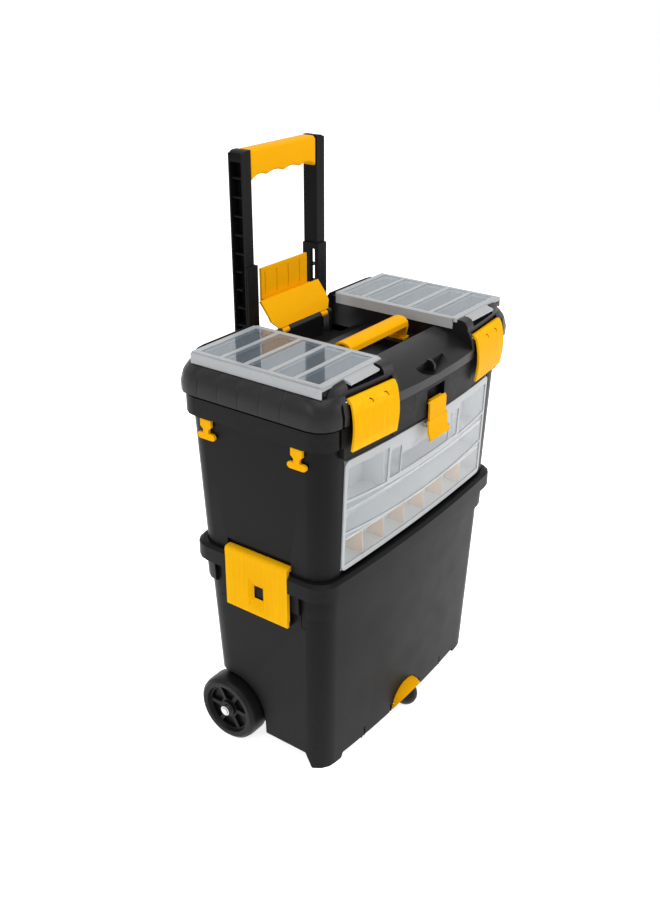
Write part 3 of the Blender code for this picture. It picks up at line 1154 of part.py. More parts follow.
def strap_hooks():
    """Anchor-shaped strap hooks that hang under the rim of the tub, two on each side."""
    top = TUB_BAND_BOTTOM - TOUCH_GAP
    low = top - HOOK_HEIGHT
    bar = HOOK_ROD
    half_bar = HOOK_BAR / 2
    right = [(HOOK_PLATE / 2, top), (HOOK_PLATE / 2, top - HOOK_PLATE_DROP),
             (HOOK_NECK / 2, top - HOOK_NECK_DROP), (HOOK_NECK / 2, low + bar)]
    right += arc((half_bar - bar / 2, low + bar / 2), bar / 2, 90, -90, 6)
    outline = right + [(-y, z) for y, z in reversed(right)]
    wall = tub_size(TUB_BAND_BOTTOM)[0] / 2 + TOUCH_GAP
    for side in (-1, 1):
        for end, y in (("front", -HOOK_OFFSET), ("rear", HOOK_OFFSET)):
            word = "left" if side < 0 else "right"
            span = sorted((side * wall, side * (wall + HOOK_THICKNESS)))
            hook = extruded([(y + a, z) for a, z in outline], "X", span[0], span[1])
            add_part(f"strap_hook_{word}_{end}", hook, YELLOW)


def organiser_ring(z, inset, thickness=None):
    """The organiser's plan at a height: straight back and sides, bowed front set back by inset."""
    share = (z - NICHE_BOTTOM) / (NICHE_TOP - NICHE_BOTTOM)
    front = ORGANISER_BASE_FRONT + (ORGANISER_TOP_FRONT - ORGANISER_BASE_FRONT) * share - inset
    bow = ORGANISER_BASE_BOW + (ORGANISER_TOP_BOW - ORGANISER_BASE_BOW) * share
    half = NICHE_HALF_WIDTH - SWING_GAP / 2
    curve = front_curve(front, bow, half, half)
    if thickness:
        return curve + [(x, y + thickness) for x, y in reversed(curve)]
    back = NICHE_BACK_Y - TOUCH_GAP
    return curve + [(half, back), (-half, back)]


def front_organiser():
    low = NICHE_BOTTOM + TOUCH_GAP
    high = NICHE_TOP - SWING_GAP / 2
    inset = ORGANISER_COVER + TOUCH_GAP
    heights = [low + (high - low) * index / ORGANISER_LEVELS for index in range(ORGANISER_LEVELS + 1)]
    tray = add_part("front_organiser_tray", loft([(z, organiser_ring(z, inset)) for z in heights]), CLEAR)
    half = NICHE_HALF_WIDTH - SWING_GAP / 2 - ORGANISER_WALL
    back = NICHE_BACK_Y - TOUCH_GAP - ORGANISER_WALL
    levels = [low] + [low + rise for rise in ORGANISER_SHELVES] + [high]
    rooms = []
    for index, (floor, ceiling) in enumerate(zip(levels, levels[1:])):
        bottom = floor + (ORGANISER_WALL if index == 0 else ORGANISER_WALL / 2)
        top = ceiling - (ORGANISER_WALL if index == len(ORGANISER_SHELVES) else ORGANISER_WALL / 2)
        bays = [(-half, half)]
        if index == len(ORGANISER_SHELVES):
            grip = ORGANISER_GRIP_WIDTH / 2
            bays = [(-half, -grip - ORGANISER_WALL), (-grip, grip), (grip + ORGANISER_WALL, half)]
        rooms += [((start, -FAR, bottom), (end, back, top)) for start, end in bays]
    cut(tray, "organiser_rooms", boxes(*rooms))
    cover = add_part("front_organiser_cover", loft([(z, organiser_ring(z, 0,
            ORGANISER_COVER)) for z in heights]), CLEAR, (0, COVER_HINGE_Y, NICHE_BOTTOM + SWING_GAP))
    boolean(cover, add_cutter("cover_outline", extruded(rounded_outline(half + ORGANISER_WALL, low, high,
            ORGANISER_CORNER), "Y", -FAR, 0.0)), "INTERSECT")
    clip_seat(cover)
    bottom = levels[0] + ORGANISER_WALL + TOUCH_GAP
    top = levels[1] - ORGANISER_WALL / 2 - TOUCH_GAP
    for index in range(ORGANISER_DIVIDERS):
        x = half * (2 * (index + 1) / (ORGANISER_DIVIDERS + 1) - 1)
        span = ((x - ORGANISER_DIVIDER / 2, -ORGANISER_BASE_FRONT + inset + ORGANISER_DIVIDER_SETBACK,
                 bottom), (x + ORGANISER_DIVIDER / 2, back - TOUCH_GAP, top))
        add_part(f"organiser_divider_{index + 1}", boxes(span), BEIGE)


def rounded_outline(half, low, high, radius):
    points = []
    for x, z, start in ((half - radius, low + radius, -90), (half - radius, high - radius, 0),
                        (radius - half, high - radius, 90), (radius - half, low + radius, 180)):
        points += arc((x, z), radius, start, start + 90, 4)
    return points


def cover_face_y():
    share = (CLIP_PIVOT_Z - NICHE_BOTTOM) / (NICHE_TOP - NICHE_BOTTOM)
    front = ORGANISER_BASE_FRONT + (ORGANISER_TOP_FRONT - ORGANISER_BASE_FRONT) * share
    bow = ORGANISER_BASE_BOW + (ORGANISER_TOP_BOW - ORGANISER_BASE_BOW) * share
    return -front - bow


def clip_axis_y():
    return cover_face_y() - CLIP_STANDOFF


def clip_seat(cover):
    """Two ears on the clear cover that carry the clip's pin."""
    y = clip_axis_y()
    ear = CLIP_EAR
    offset = CLIP_WIDTH / 2 - CLIP_EAR_INSET
    root_y = cover_face_y() + ORGANISER_COVER / 2
    ears = [((x - ear / 2, y - CLIP_EAR_HALF, CLIP_PIVOT_Z - CLIP_EAR_HALF),
             (x + ear / 2, root_y, CLIP_PIVOT_Z + CLIP_EAR_HALF)) for x in (-offset, offset)]
    fuse(cover, "clip_ears", boxes(*ears))
    cut(cover, "clip_ear_bores", rods(CLIP_PIN_RADIUS + TOUCH_GAP, "X", PIN_STEPS,
                                      ((-FAR, y, CLIP_PIVOT_Z), 2 * FAR)))


def organiser_clip():
    """A sprung tongue on the organiser's cover whose hooked top enters the slot in the tub's rim."""
    y = CLIP_FRONT_Y
    half = CLIP_WIDTH / 2
    foot = [(y - CLIP_FLARE, CLIP_BOTTOM), (y - CLIP_CURL, CLIP_BOTTOM + CLIP_BEND), (y - HAIR, CLIP_WAIST_Z)]
    tongue = [(y, CLIP_WAIST_Z - CLIP_LAP), (y, CLIP_TOP - CLIP_SHOULDER),
              (y + CLIP_CURL, CLIP_TOP - CLIP_CURL)]
    pivot = (0, clip_axis_y(), CLIP_PIVOT_Z)
    clip = add_part("organiser_clip", extruded(thick_line(tongue, -CLIP_THICKNESS), "X", -half, half),
                    YELLOW, pivot)
    fuse(clip, "clip_foot", extruded(thick_line(foot, -CLIP_THICKNESS), "X", -CLIP_FOOT_WIDTH / 2,
                                     CLIP_FOOT_WIDTH / 2))
    fuse(clip, "clip_hook", boxes(((-half + CLIP_HOOK_INSET, y + CLIP_THICKNESS / 2,
                                    CLIP_TOP - CLIP_CURL - CLIP_HOOK_HEIGHT),
                                   (half - CLIP_HOOK_INSET, y + CLIP_HOOK, CLIP_TOP - CLIP_CURL))))
    eye = CLIP_WIDTH / 2 - CLIP_EAR_INSET - CLIP_EAR / 2 - SWING_GAP
    fuse(clip, "clip_eye", boxes(((-eye, y + CLIP_THICKNESS / 2, CLIP_PIVOT_Z - CLIP_EYE_HALF),
                                  (eye, pivot[1] + CLIP_EYE_HALF, CLIP_PIVOT_Z + CLIP_EYE_HALF))))
    cut(clip, "clip_eye_bore", rods(CLIP_PIN_RADIUS + TOUCH_GAP, "X", PIN_STEPS,
                                    ((-FAR, pivot[1], CLIP_PIVOT_Z), 2 * FAR)))
    length = CLIP_WIDTH - 2 * CLIP_EAR_INSET + CLIP_EAR / 2
    add_part("clip_pin", rods(CLIP_PIN_RADIUS, "X", PIN_STEPS,
                              ((-length / 2, pivot[1], CLIP_PIVOT_Z), length)), STEEL)


def lid_ring(width, depth):
    return bowed_ring(width, depth, BAND_BOW)


def organiser_wells():
    pitch = (WELL_REAR_Y - WELL_FRONT_Y + WELL_DIVIDER) / WELL_COUNT
    pairs = []
    for side in (-1, 1):
        span = sorted((side * WELL_INNER_X, side * WELL_OUTER_X))
        for index in range(WELL_COUNT):
            start = WELL_FRONT_Y + index * pitch
            pairs.append(((span[0], start, LID_FLOOR_TOP),
                          (span[1], start + pitch - WELL_DIVIDER, LID_TOP + OVERCUT)))
    return boxes(*pairs)


def lid():
    body = add_part("lid", loft([(LID_BOTTOM, lid_ring(LID_WIDTH, LID_DEPTH)),
                                 (LID_BULGE_Z, lid_ring(LID_WIDTH + LID_BULGE, LID_DEPTH + LID_BULGE)),
                                 (LID_SHOULDER_Z, lid_ring(LID_SHOULDER_WIDTH, LID_SHOULDER_DEPTH)),
                                 (LID_EDGE_Z - LID_EDGE_STEP[0],
                                  lid_ring(LID_EDGE_WIDTH + LID_EDGE_STEP[1],
                                           LID_EDGE_DEPTH + LID_EDGE_STEP[2])),
                                 (LID_EDGE_Z, lid_ring(LID_EDGE_WIDTH, LID_EDGE_DEPTH)),
                                 (LID_EDGE_Z, lid_ring(LID_TOP_WIDTH, LID_EDGE_DEPTH - LID_EDGE_STEP[2])),
                                 (LID_TOP, lid_ring(LID_TOP_WIDTH, LID_EDGE_DEPTH - LID_EDGE_STEP[1]))]),
                    BLACK, (0, LID_HINGE_Y, LID_HINGE_Z))
    front_brow(body)
    cut(body, "organiser_wells", organiser_wells())
    lid_channel(body)
    boolean(body, lid_cavity())
    for side in (-1, 1):
        cut(body, f"lid_latch_pocket_{side}", latch_pocket(side, 0, LID_BOTTOM - OVERCUT, LATCH_POCKET_Y))
        cut(body, f"latch_pin_bore_{side}", latch_rod(side, LATCH_PIN_RADIUS + TOUCH_GAP,
                                                      latch_pin_length() + 2 * TOUCH_GAP))
    front = LID_DEPTH / 2
    reach = LID_WIDTH / 2 - CORNER_RADIUS
    corner_grooves(body, LID_BOTTOM - OVERCUT, LID_SHOULDER_Z + LID_GROOVE_TOP, front, reach, "lid")
    oval = [(HASP_HALF_WIDTH * math.cos(2 * math.pi * i / ROUND_STEPS),
             HASP_Z + HASP_HALF_HEIGHT * math.sin(2 * math.pi * i / ROUND_STEPS)) for i in range(ROUND_STEPS)]
    cut(body, "hasp_recess", extruded(oval, "Y", -FAR, HASP_BACK_Y))
    fin = [(HASP_BACK_Y + WELD, HASP_Z - HASP_HALF_HEIGHT - WELD),
           (HASP_BACK_Y + WELD, HASP_Z + HASP_FIN_ROOT),
           (HASP_BACK_Y - HASP_FIN_TOP[0], HASP_Z + HASP_FIN_TOP[1]),
           (HASP_BACK_Y - HASP_FIN_NOSE[0], HASP_Z - HASP_FIN_NOSE[1]),
           (HASP_BACK_Y - HASP_FIN_FOOT, HASP_Z - HASP_HALF_HEIGHT - WELD)]
    fuse(body, "hasp_fin", extruded(fin, "X", -HASP_FIN / 2, HASP_FIN / 2))
    tab_span = ORG_TAB_WIDTH / 2 + ORG_TAB_GAP
    notches = [((x - tab_span, -FAR, LID_TOP - ORG_TAB_DROP - ORG_TAB_ROOM),
                (x + tab_span, WELL_FRONT_Y - ORG_TAB_BACK, LID_TOP + OVERCUT)) for x in (-ORG_TAB_CENTRE_X,
                        ORG_TAB_CENTRE_X)]
    cut(body, "tab_notches", boxes(*notches))
    cut(body, "tub_knuckle_room", hinge_spans(LID_HINGE_RADIUS + SWING_GAP, "tub"))
    fuse(body, "lid_knuckles", hinge_spans(LID_HINGE_RADIUS, "lid"))
    fuse(body, "lid_hinge_arms", hinge_arms("lid", LID_HINGE_Z + LID_HINGE_RADIUS - HAIR, LID_BOTTOM + WELD,
                                            LID_DEPTH / 2 - LID_WALL / 2))
    cut(body, "lid_hinge_bores", hinge_bores())
    return body


def channel_outline(drop):
    """Side view of the lid's sunk middle and its rolled front, lowered by the drop."""
    front = LID_DEPTH / 2 + BAND_BOW
    above = LID_TOP + OVERCUT
    outline = [(FAR, above), (FAR, LID_FLOOR_TOP - drop), (CHANNEL_STEP_Y - drop, LID_FLOOR_TOP - drop),
               (CHANNEL_STEP_Y - drop, CHANNEL_FLOOR - drop), (CHANNEL_FRONT_Y - drop, CHANNEL_FLOOR - drop),
               (CHANNEL_FRONT_Y - drop, ROLL_CROWN_Z - drop)]
    for index in range(1, ROLL_STEPS + 1):
        share = index / ROLL_STEPS
        y = CHANNEL_FRONT_Y - drop + (-front - CHANNEL_FRONT_Y) * share
        outline.append((y, ROLL_CROWN_Z - drop + (ROLL_FRONT_Z - ROLL_CROWN_Z) * share ** 2))
    outline += [(-FAR, ROLL_FRONT_Z - drop), (-FAR, above)]
    return outline


def lid_cavity():
    """The hollow under the lid's shoulders, clear of the wells, the channel and the latch pockets."""
    def inner_ring(width, depth, inset):
        return lid_ring(width - 2 * inset, depth - 2 * inset)

    seat = LID_FLOOR_BOTTOM - LID_CAVITY_SEAT
    cavity = add_cutter("lid_cavity", loft([
        (LID_BOTTOM - OVERCUT, inner_ring(LID_WIDTH, LID_DEPTH, LID_SKIRT)),
        (seat, inner_ring(LID_WIDTH, LID_DEPTH, LID_SKIRT)),
        (seat + LID_WALL, inner_ring(LID_WIDTH, LID_DEPTH, LID_WALL)),
        (LID_SHOULDER_Z - WELD, inner_ring(LID_SHOULDER_WIDTH, LID_SHOULDER_DEPTH, LID_WALL)),
        (LID_EDGE_Z - LID_WALL - WELD, inner_ring(LID_EDGE_WIDTH, LID_EDGE_DEPTH, LID_WALL))]))
    blocks = []
    for side in (-1, 1):
        span = sorted((side * (CHANNEL_HALF_WIDTH - 2 * WELD), side * (WELL_OUTER_X + LID_WALL)))
        blocks.append(((span[0], WELL_FRONT_Y - LID_WALL, LID_FLOOR_BOTTOM),
                       (span[1], WELL_REAR_Y + LID_WALL, LID_TOP)))
    cut(cavity, "well_blocks", boxes(*blocks))
    below = CHANNEL_HALF_WIDTH + LID_WALL
    cut(cavity, "channel_block", extruded(channel_outline(LID_FLOOR_TOP - LID_FLOOR_BOTTOM), "X", -below,
                                          below))
    cut(cavity, "finger_well_block", boxes(((-FINGER_WELL_HALF_WIDTH - LID_WALL,
                                             FINGER_WELL_FRONT_Y - LID_WALL, LID_FLOOR_BOTTOM),
                                            (FINGER_WELL_HALF_WIDTH + LID_WALL,
                                             FINGER_WELL_REAR_Y + LID_WALL, LID_TOP))))
    cut(cavity, "hasp_block", boxes(((-HASP_HALF_WIDTH - LID_WALL, -FAR,
                                      HASP_Z - HASP_HALF_HEIGHT - LID_WALL),
                                     (HASP_HALF_WIDTH + LID_WALL, HASP_BACK_Y + LID_WALL, LID_TOP))))
    for side in (-1, 1):
        cut(cavity, f"latch_block_{side}", latch_pocket(side, LID_WALL + WELD, LID_BOTTOM - 2 * OVERCUT,
                                                        LATCH_POCKET_Y))
    return cavity


def front_brow(body):
    """The raised, rounded front corners of the lid that stand in front of the clear lids."""
    rise = BROW_TOP - LID_EDGE_Z
    sections = [(LID_SHOULDER_Z + 2 * WELD, lid_ring(LID_EDGE_WIDTH + BROW_FOOT, LID_EDGE_DEPTH + BROW_FOOT))]
    for step in range(BROW_STEPS + 1):
        share = step / BROW_STEPS
        inset = BROW_ROUND * (1 - math.cos(share * math.pi / 2))
        sections.append((LID_EDGE_Z + rise * math.sin(share * math.pi / 2),
                         lid_ring(LID_EDGE_WIDTH - 2 * inset, LID_EDGE_DEPTH - 2 * inset)))
    brow = add_cutter("front_brow", loft(sections))
    cut(brow, "brow_back", boxes(((-FAR, BROW_BACK_Y, LID_BOTTOM), (FAR, BROW_REAR_Y, BROW_TOP + OVERCUT))))
    cut(brow, "brow_middle", boxes(((-CHANNEL_HALF_WIDTH + WELD, -FAR, LID_BOTTOM),
                                    (CHANNEL_HALF_WIDTH - WELD, FAR, BROW_TOP + OVERCUT))))
    boolean(body, brow, "UNION")


def lid_channel(body):
    """The sunk middle of the lid: carry well, flap barrel, and open lanes that let the rails pass."""
    above = LID_TOP + OVERCUT
    cut(body, "channel", extruded(channel_outline(0), "X", -CHANNEL_HALF_WIDTH, CHANNEL_HALF_WIDTH))
    cut(body, "finger_well", boxes(((-FINGER_WELL_HALF_WIDTH, FINGER_WELL_FRONT_Y, LID_FLOOR_TOP),
                                    (FINGER_WELL_HALF_WIDTH, FINGER_WELL_REAR_Y, CHANNEL_FLOOR + OVERCUT))))
    lane_outer = CHANNEL_HALF_WIDTH + LANE_SIDE_CUT
    lanes = [(-lane_outer, LANE_START_Y), (-LANE_INNER_X, LANE_START_Y), (-LANE_INNER_X, RAIL_NOTCH_Y),
             (LANE_INNER_X, RAIL_NOTCH_Y), (LANE_INNER_X, LANE_START_Y), (lane_outer, LANE_START_Y),
             (lane_outer, FAR), (-lane_outer, FAR)]
    cut(body, "rail_lanes", extruded(lanes, "Z", LID_BOTTOM - OVERCUT, above))
    low = LID_FLOOR_TOP - WELD
    for word, start, end in flap_posts():
        post = [(FLAP_PIVOT_Y + FLAP_KNUCKLE, low), (FLAP_PIVOT_Y + FLAP_KNUCKLE, FLAP_PIVOT_Z)]
        post += arc((FLAP_PIVOT_Y, FLAP_PIVOT_Z), FLAP_KNUCKLE, 0, 180, 8)[1:]
        post.append((FLAP_PIVOT_Y - FLAP_KNUCKLE, low))
        fuse(body, f"flap_post_{word}", extruded(post, "X", start, end))
    bore_reach = flap_posts()[-1][2] - FLAP_PIN_COVER
    cut(body, "flap_pin_bore", rods(FLAP_PIN_RADIUS + TOUCH_GAP, "X", PIN_STEPS,
                                    ((-bore_reach, FLAP_PIVOT_Y, FLAP_PIVOT_Z), 2 * bore_reach)))


def flap_posts():
    """The lid's posts round the flap's pin: one long barrel and a boss outside each foot."""
    boss = FLAP_BARREL_HALF_LENGTH + FLAP_FOOT_WIDTH + 2 * FLAP_SIDE_GAP
    tip = boss + FLAP_BOSS_WIDTH
    return [("barrel", -FLAP_BARREL_HALF_LENGTH, FLAP_BARREL_HALF_LENGTH), ("left", -tip, -boss),
            ("right", boss, tip)]


def latch_pin_length():
    return LATCH_OUTER_X - LATCH_INNER_X + 2 * (SWING_GAP + LATCH_PIN_SEAT)


def latch_rod(side, radius, length):
    """A rod on a latch's pivot axis."""
    return yawed(rods(radius, "X", PIN_STEPS, ((side * LATCH_CENTRE_X - length / 2, LATCH_PIVOT_Y,
                                                LATCH_PIVOT_Z), length)), side)


def latches():
    """Bowed latch plates on the front of the lid, hung on pins at their top edge."""
    height = LATCH_TOP - LATCH_BOTTOM
    strip = []
    for index in range(LATCH_STEPS + 1):
        share = index / LATCH_STEPS
        bulge = LATCH_BULGE * math.sin(math.pi * share) + LATCH_FOOT_REACH * share
        top_roll = LATCH_TOP_ROLL * max(0, 1 - share / LATCH_ROLL_SHARE) ** 2
        strip.append((LATCH_FRONT_Y - bulge + top_roll, LATCH_TOP - height * share))
    outline = thick_line(strip, LATCH_THICKNESS)
    width = LATCH_OUTER_X - LATCH_INNER_X
    for side in (-1, 1):
        word = "left" if side < 0 else "right"
        middle = side * LATCH_CENTRE_X
        plate = yawed(extruded(outline, "X", middle - width / 2, middle + width / 2), side)
        latch = add_part(f"latch_{word}", plate, YELLOW, (middle, LATCH_PIVOT_Y, LATCH_PIVOT_Z))
        fuse(latch, f"latch_knuckle_{word}", latch_rod(side, LATCH_KNUCKLE, width))
        cut(latch, f"latch_bore_{word}", latch_rod(side, LATCH_PIN_RADIUS + TOUCH_GAP, width + OVERCUT))
        add_part(f"latch_pin_{word}", latch_rod(side, LATCH_PIN_RADIUS, latch_pin_length()), STEEL)


def organiser_lids():
    """Clear lids over the compartments, with a pane over each one, an outer side lip and a front tab."""
    pitch = (WELL_REAR_Y - WELL_FRONT_Y + WELL_DIVIDER) / WELL_COUNT
    for side in (-1, 1):
        word = "left" if side < 0 else "right"
        span = sorted((side * ORG_INNER_X, side * ORG_OUTER_X))
        clear = add_part(f"organiser_lid_{word}", boxes(((span[0], ORG_FRONT_Y, ORG_BOTTOM),
                                                         (span[1], ORG_REAR_Y, ORG_TOP))), CLEAR,
                         (0, ORG_HINGE_Y, ORG_BOTTOM + ORG_PINTLE_RADIUS))
        lip = sorted((side * (ORG_OUTER_X - ORG_LIP), side * ORG_OUTER_X))
        fuse(clear, f"organiser_lip_{word}", boxes(((lip[0], ORG_FRONT_Y, ORG_LIP_BOTTOM),
                                                    (lip[1], ORG_REAR_Y, ORG_BOTTOM + WELD))))
        centre = side * ORG_TAB_CENTRE_X
        tab = [(ORG_FRONT_Y + WELD, ORG_TOP - WELD), (ORG_FRONT_Y - ORG_TAB_REACH,
                                                      ORG_TOP - ORG_TAB_DROP - ORG_TAB_FALL),
               (ORG_FRONT_Y - ORG_TAB_REACH, ORG_BOTTOM - ORG_TAB_DROP + WELD),
               (ORG_FRONT_Y + WELD, ORG_BOTTOM + HAIR)]
        fuse(clear, f"organiser_tab_{word}", extruded(tab, "X", centre - ORG_TAB_WIDTH / 2,
                                                      centre + ORG_TAB_WIDTH / 2))
        pane_x = sorted((side * (WELL_INNER_X + ORG_PANE_INSET), side * (WELL_OUTER_X - ORG_PANE_INSET)))
        panes = []
        for index in range(WELL_COUNT):
            start = WELL_FRONT_Y + index * pitch + ORG_PANE_EDGE
            panes.append(((pane_x[0], start, ORG_BOTTOM - OVERCUT),
                          (pane_x[1], start + pitch - WELL_DIVIDER - 2 * ORG_PANE_EDGE, ORG_TOP - ORG_PANE)))
        cut(clear, f"organiser_panes_{word}", boxes(*panes))
        length = ORG_OUTER_X - ORG_INNER_X - 2 * ORG_PINTLE_INSET
        start = ORG_INNER_X + ORG_PINTLE_INSET if side > 0 else -ORG_INNER_X - ORG_PINTLE_INSET - length
        fuse(clear, f"organiser_pintle_{word}", rods(ORG_PINTLE_RADIUS, "X", PIN_STEPS,
                                                     ((start, ORG_HINGE_Y, ORG_BOTTOM + ORG_PINTLE_RADIUS),
                                                      length)))
        web_span = sorted((side * (ORG_INNER_X + ORG_PINTLE_INSET), side * (ORG_OUTER_X - ORG_PINTLE_INSET)))
        fuse(clear, f"organiser_web_{word}", boxes(((web_span[0], ORG_REAR_Y - WELD,
                                                     ORG_BOTTOM + ORG_WEB_INSET),
                                                    (web_span[1], ORG_HINGE_Y,
                                                     ORG_BOTTOM + 2 * ORG_PINTLE_RADIUS - ORG_WEB_INSET))))


def carry_handle():
    """An arched bar on two legs, hollow below, standing in the lid's sunk middle."""
    middle = CARRY_REAR_Y - CARRY_DEPTH / 2
    half = CARRY_DEPTH / 2
    base = CARRY_TOP - CARRY_RISE

    def crown(inset):
        points = []
        for index in range(CARRY_STEPS + 1):
            angle = math.pi * index / CARRY_STEPS
            rise = (CARRY_RISE - inset) * max(0, math.sin(angle)) ** CARRY_FULLNESS
            points.append((middle + (half - inset) * math.cos(angle),
                           base + (rise if 0 < index < CARRY_STEPS else 0)))
        return points

    outline = crown(0) + list(reversed(crown(CARRY_WALL)))
    handle = add_part("carry_handle", extruded(outline, "X", -CARRY_HALF_LENGTH, CARRY_HALF_LENGTH), YELLOW)
    foot_z = CHANNEL_FLOOR + TOUCH_GAP
    for side in (-1, 1):
        word = "left" if side < 0 else "right"
        span = sorted((side * (CARRY_HALF_LENGTH - CARRY_LEG), side * CARRY_HALF_LENGTH))
        leg = [(middle + half, base), (middle + half * CARRY_LEG_TAPER[0], base + CARRY_RISE / 2),
               (middle - half * CARRY_LEG_TAPER[0], base + CARRY_RISE / 2), (middle - half, base),
               (middle - half * CARRY_LEG_TAPER[1], foot_z), (middle + half * CARRY_LEG_TAPER[1], foot_z)]
        fuse(handle, f"carry_leg_{word}", extruded(leg, "X", span[0], span[1]))
        foot = sorted((side * (CARRY_HALF_LENGTH - CARRY_LEG - CARRY_FOOT_REACH),
                       side * (CARRY_HALF_LENGTH + CARRY_FOOT_REACH)))
        fuse(handle, f"carry_foot_{word}", boxes(((foot[0], middle - half * CARRY_FOOT_SHARE, foot_z),
                                                  (foot[1], middle + half * CARRY_FOOT_SHARE,
                                                   foot_z + CARRY_FOOT))))


def lock_flap():
    """A hinged flap that stands between the rails behind the carry handle and folds forward."""
    pivot = Vector((0, FLAP_PIVOT_Y, FLAP_PIVOT_Z))
    knee = (FLAP_PIVOT_Y + FLAP_KNEE[0], FLAP_PIVOT_Z + FLAP_KNEE[1])
    tip = (FLAP_PIVOT_Y + FLAP_TIP[0], FLAP_PIVOT_Z + FLAP_TIP[1])
    shelf = (FLAP_PIVOT_Y + FLAP_SHELF[0], FLAP_PIVOT_Z + FLAP_SHELF[1])
    start = (FLAP_PIVOT_Y - WELD, FLAP_PIVOT_Z + FLAP_KNUCKLE)
    lower = thick_line([start, ((start[0] + knee[0]) / 2 - FLAP_SAG, (start[1] + knee[1]) / 2), knee],
                       -FLAP_THICKNESS)
    flap = add_part("lock_flap", extruded(lower, "X", -FLAP_HALF_WIDTH, FLAP_HALF_WIDTH), YELLOW, pivot)
    corner = Vector((FLAP_CORNER[0], FLAP_PIVOT_Z + FLAP_CORNER[1]))
    for side in (-1, 1):
        chamfer = [(side * corner.x, corner.y), (side * (corner.x + FLAP_CORNER_RUN), corner.y),
                   (side * (corner.x + FLAP_CORNER_RUN), corner.y + FLAP_CORNER_RUN)]
        cut(flap, f"flap_corner_{side}", extruded(chamfer, "Y", 0, FAR))
    below = (knee[0] - FLAP_LAP[0], knee[1] - FLAP_LAP[1])
    ledge = [below, (knee[0] - HAIR, knee[1] - FLAP_LEDGE), (shelf[0] - HAIR, shelf[1])]
    fuse(flap, "flap_shelf", extruded(thick_line(ledge, -FLAP_THICKNESS), "X", -FLAP_TOP_HALF_WIDTH,
                                      FLAP_TOP_HALF_WIDTH))
    fuse(flap, "flap_top", boxes(((-FLAP_TOP_HALF_WIDTH, shelf[0] - FLAP_THICKNESS / 2,
                                   shelf[1] - FLAP_THICKNESS),
                                  (FLAP_TOP_HALF_WIDTH, shelf[0] + FLAP_THICKNESS / 2, tip[1]))))
    cut(flap, "flap_barrel_room", rods(FLAP_KNUCKLE + RUN_GAP, "X", ROUND_STEPS,
                                       ((-FAR, FLAP_PIVOT_Y, FLAP_PIVOT_Z), 2 * FAR)))
    inner = FLAP_BARREL_HALF_LENGTH + FLAP_SIDE_GAP
    for side in (-1, 1):
        word = "left" if side < 0 else "right"
        span = sorted((side * inner, side * (inner + FLAP_FOOT_WIDTH)))
        foot = [(start[0] - HAIR / 2, start[1] + WELD)]
        foot += arc((FLAP_PIVOT_Y, FLAP_PIVOT_Z), FLAP_KNUCKLE - WELD, 100, 350, 10)
        foot += [(FLAP_PIVOT_Y + FLAP_FOOT_HEEL[0], FLAP_PIVOT_Z + FLAP_FOOT_HEEL[1]),
                 (start[0] + FLAP_FOOT_ROOT, start[1] + FLAP_FOOT_ROOT)]
        fuse(flap, f"flap_foot_{word}", extruded(foot, "X", span[0], span[1]))
    cut(flap, "flap_bore", rods(FLAP_PIN_RADIUS + TOUCH_GAP, "X", PIN_STEPS,
                                ((-FAR, FLAP_PIVOT_Y, FLAP_PIVOT_Z), 2 * FAR)))
    face = shelf[0] - FLAP_THICKNESS / 2
    grooves = []
    for index in range(FLAP_RIBS):
        x = FLAP_TOP_HALF_WIDTH * (2 * index / FLAP_RIBS - FLAP_RIB_START)
        grooves.append(((x, face - OVERCUT / 4, shelf[1] + FLAP_RIB_ENDS[0]),
                        (x + FLAP_RIB_WIDTH, face + FLAP_RIB_DEPTH, tip[1] - FLAP_RIB_ENDS[1])))
    cut(flap, "flap_grooves", boxes(*grooves))
    tip_x = flap_posts()[-1][2] - FLAP_PIN_COVER - TOUCH_GAP
    add_part("flap_pin", rods(FLAP_PIN_RADIUS, "X", PIN_STEPS,
                              ((-tip_x, FLAP_PIVOT_Y, FLAP_PIVOT_Z), 2 * tip_x)), STEEL)


clear_scene()
parts_collection = new_collection("rolling_tool_box")
cutters_collection = new_collection("cutters")
frame_empty = bpy.data.objects.new("frame", None)
frame_empty.location = (0, FRAME_SHIFT, 0)
parts_collection.objects.link(frame_empty)

lower_bin()
rear_wheels()
wheel_axles()
caster()
rail_frame()
frame_screws()
pull_handle()
pull_grip()
side_clamps()
upper_tub()
strap_hooks()
front_organiser()
organiser_clip()
lid()
lid_hinge_pins()
latches()
organiser_lids()
carry_handle()
lock_flap()
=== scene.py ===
import json
import math

import bmesh
import bpy
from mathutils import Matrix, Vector


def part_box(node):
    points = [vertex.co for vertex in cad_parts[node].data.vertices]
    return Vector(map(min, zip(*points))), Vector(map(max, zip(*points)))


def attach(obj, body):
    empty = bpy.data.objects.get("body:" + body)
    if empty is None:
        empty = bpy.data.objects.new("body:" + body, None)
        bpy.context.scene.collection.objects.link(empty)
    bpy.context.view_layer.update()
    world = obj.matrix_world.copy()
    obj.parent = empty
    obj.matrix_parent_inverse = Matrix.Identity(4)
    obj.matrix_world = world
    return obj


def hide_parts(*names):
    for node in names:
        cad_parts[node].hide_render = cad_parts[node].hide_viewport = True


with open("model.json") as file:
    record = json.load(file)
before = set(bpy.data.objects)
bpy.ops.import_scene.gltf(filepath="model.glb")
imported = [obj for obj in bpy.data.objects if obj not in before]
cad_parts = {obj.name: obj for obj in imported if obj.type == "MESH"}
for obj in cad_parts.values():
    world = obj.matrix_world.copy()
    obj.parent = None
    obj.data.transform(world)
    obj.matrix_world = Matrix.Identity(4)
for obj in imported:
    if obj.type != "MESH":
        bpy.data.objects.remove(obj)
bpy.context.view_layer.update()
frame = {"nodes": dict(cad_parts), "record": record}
nodes = frame["nodes"]
record = frame["record"]
bodyOf = {node: body for body, members in record["behaviour"]["bodies"].items() for node in members}
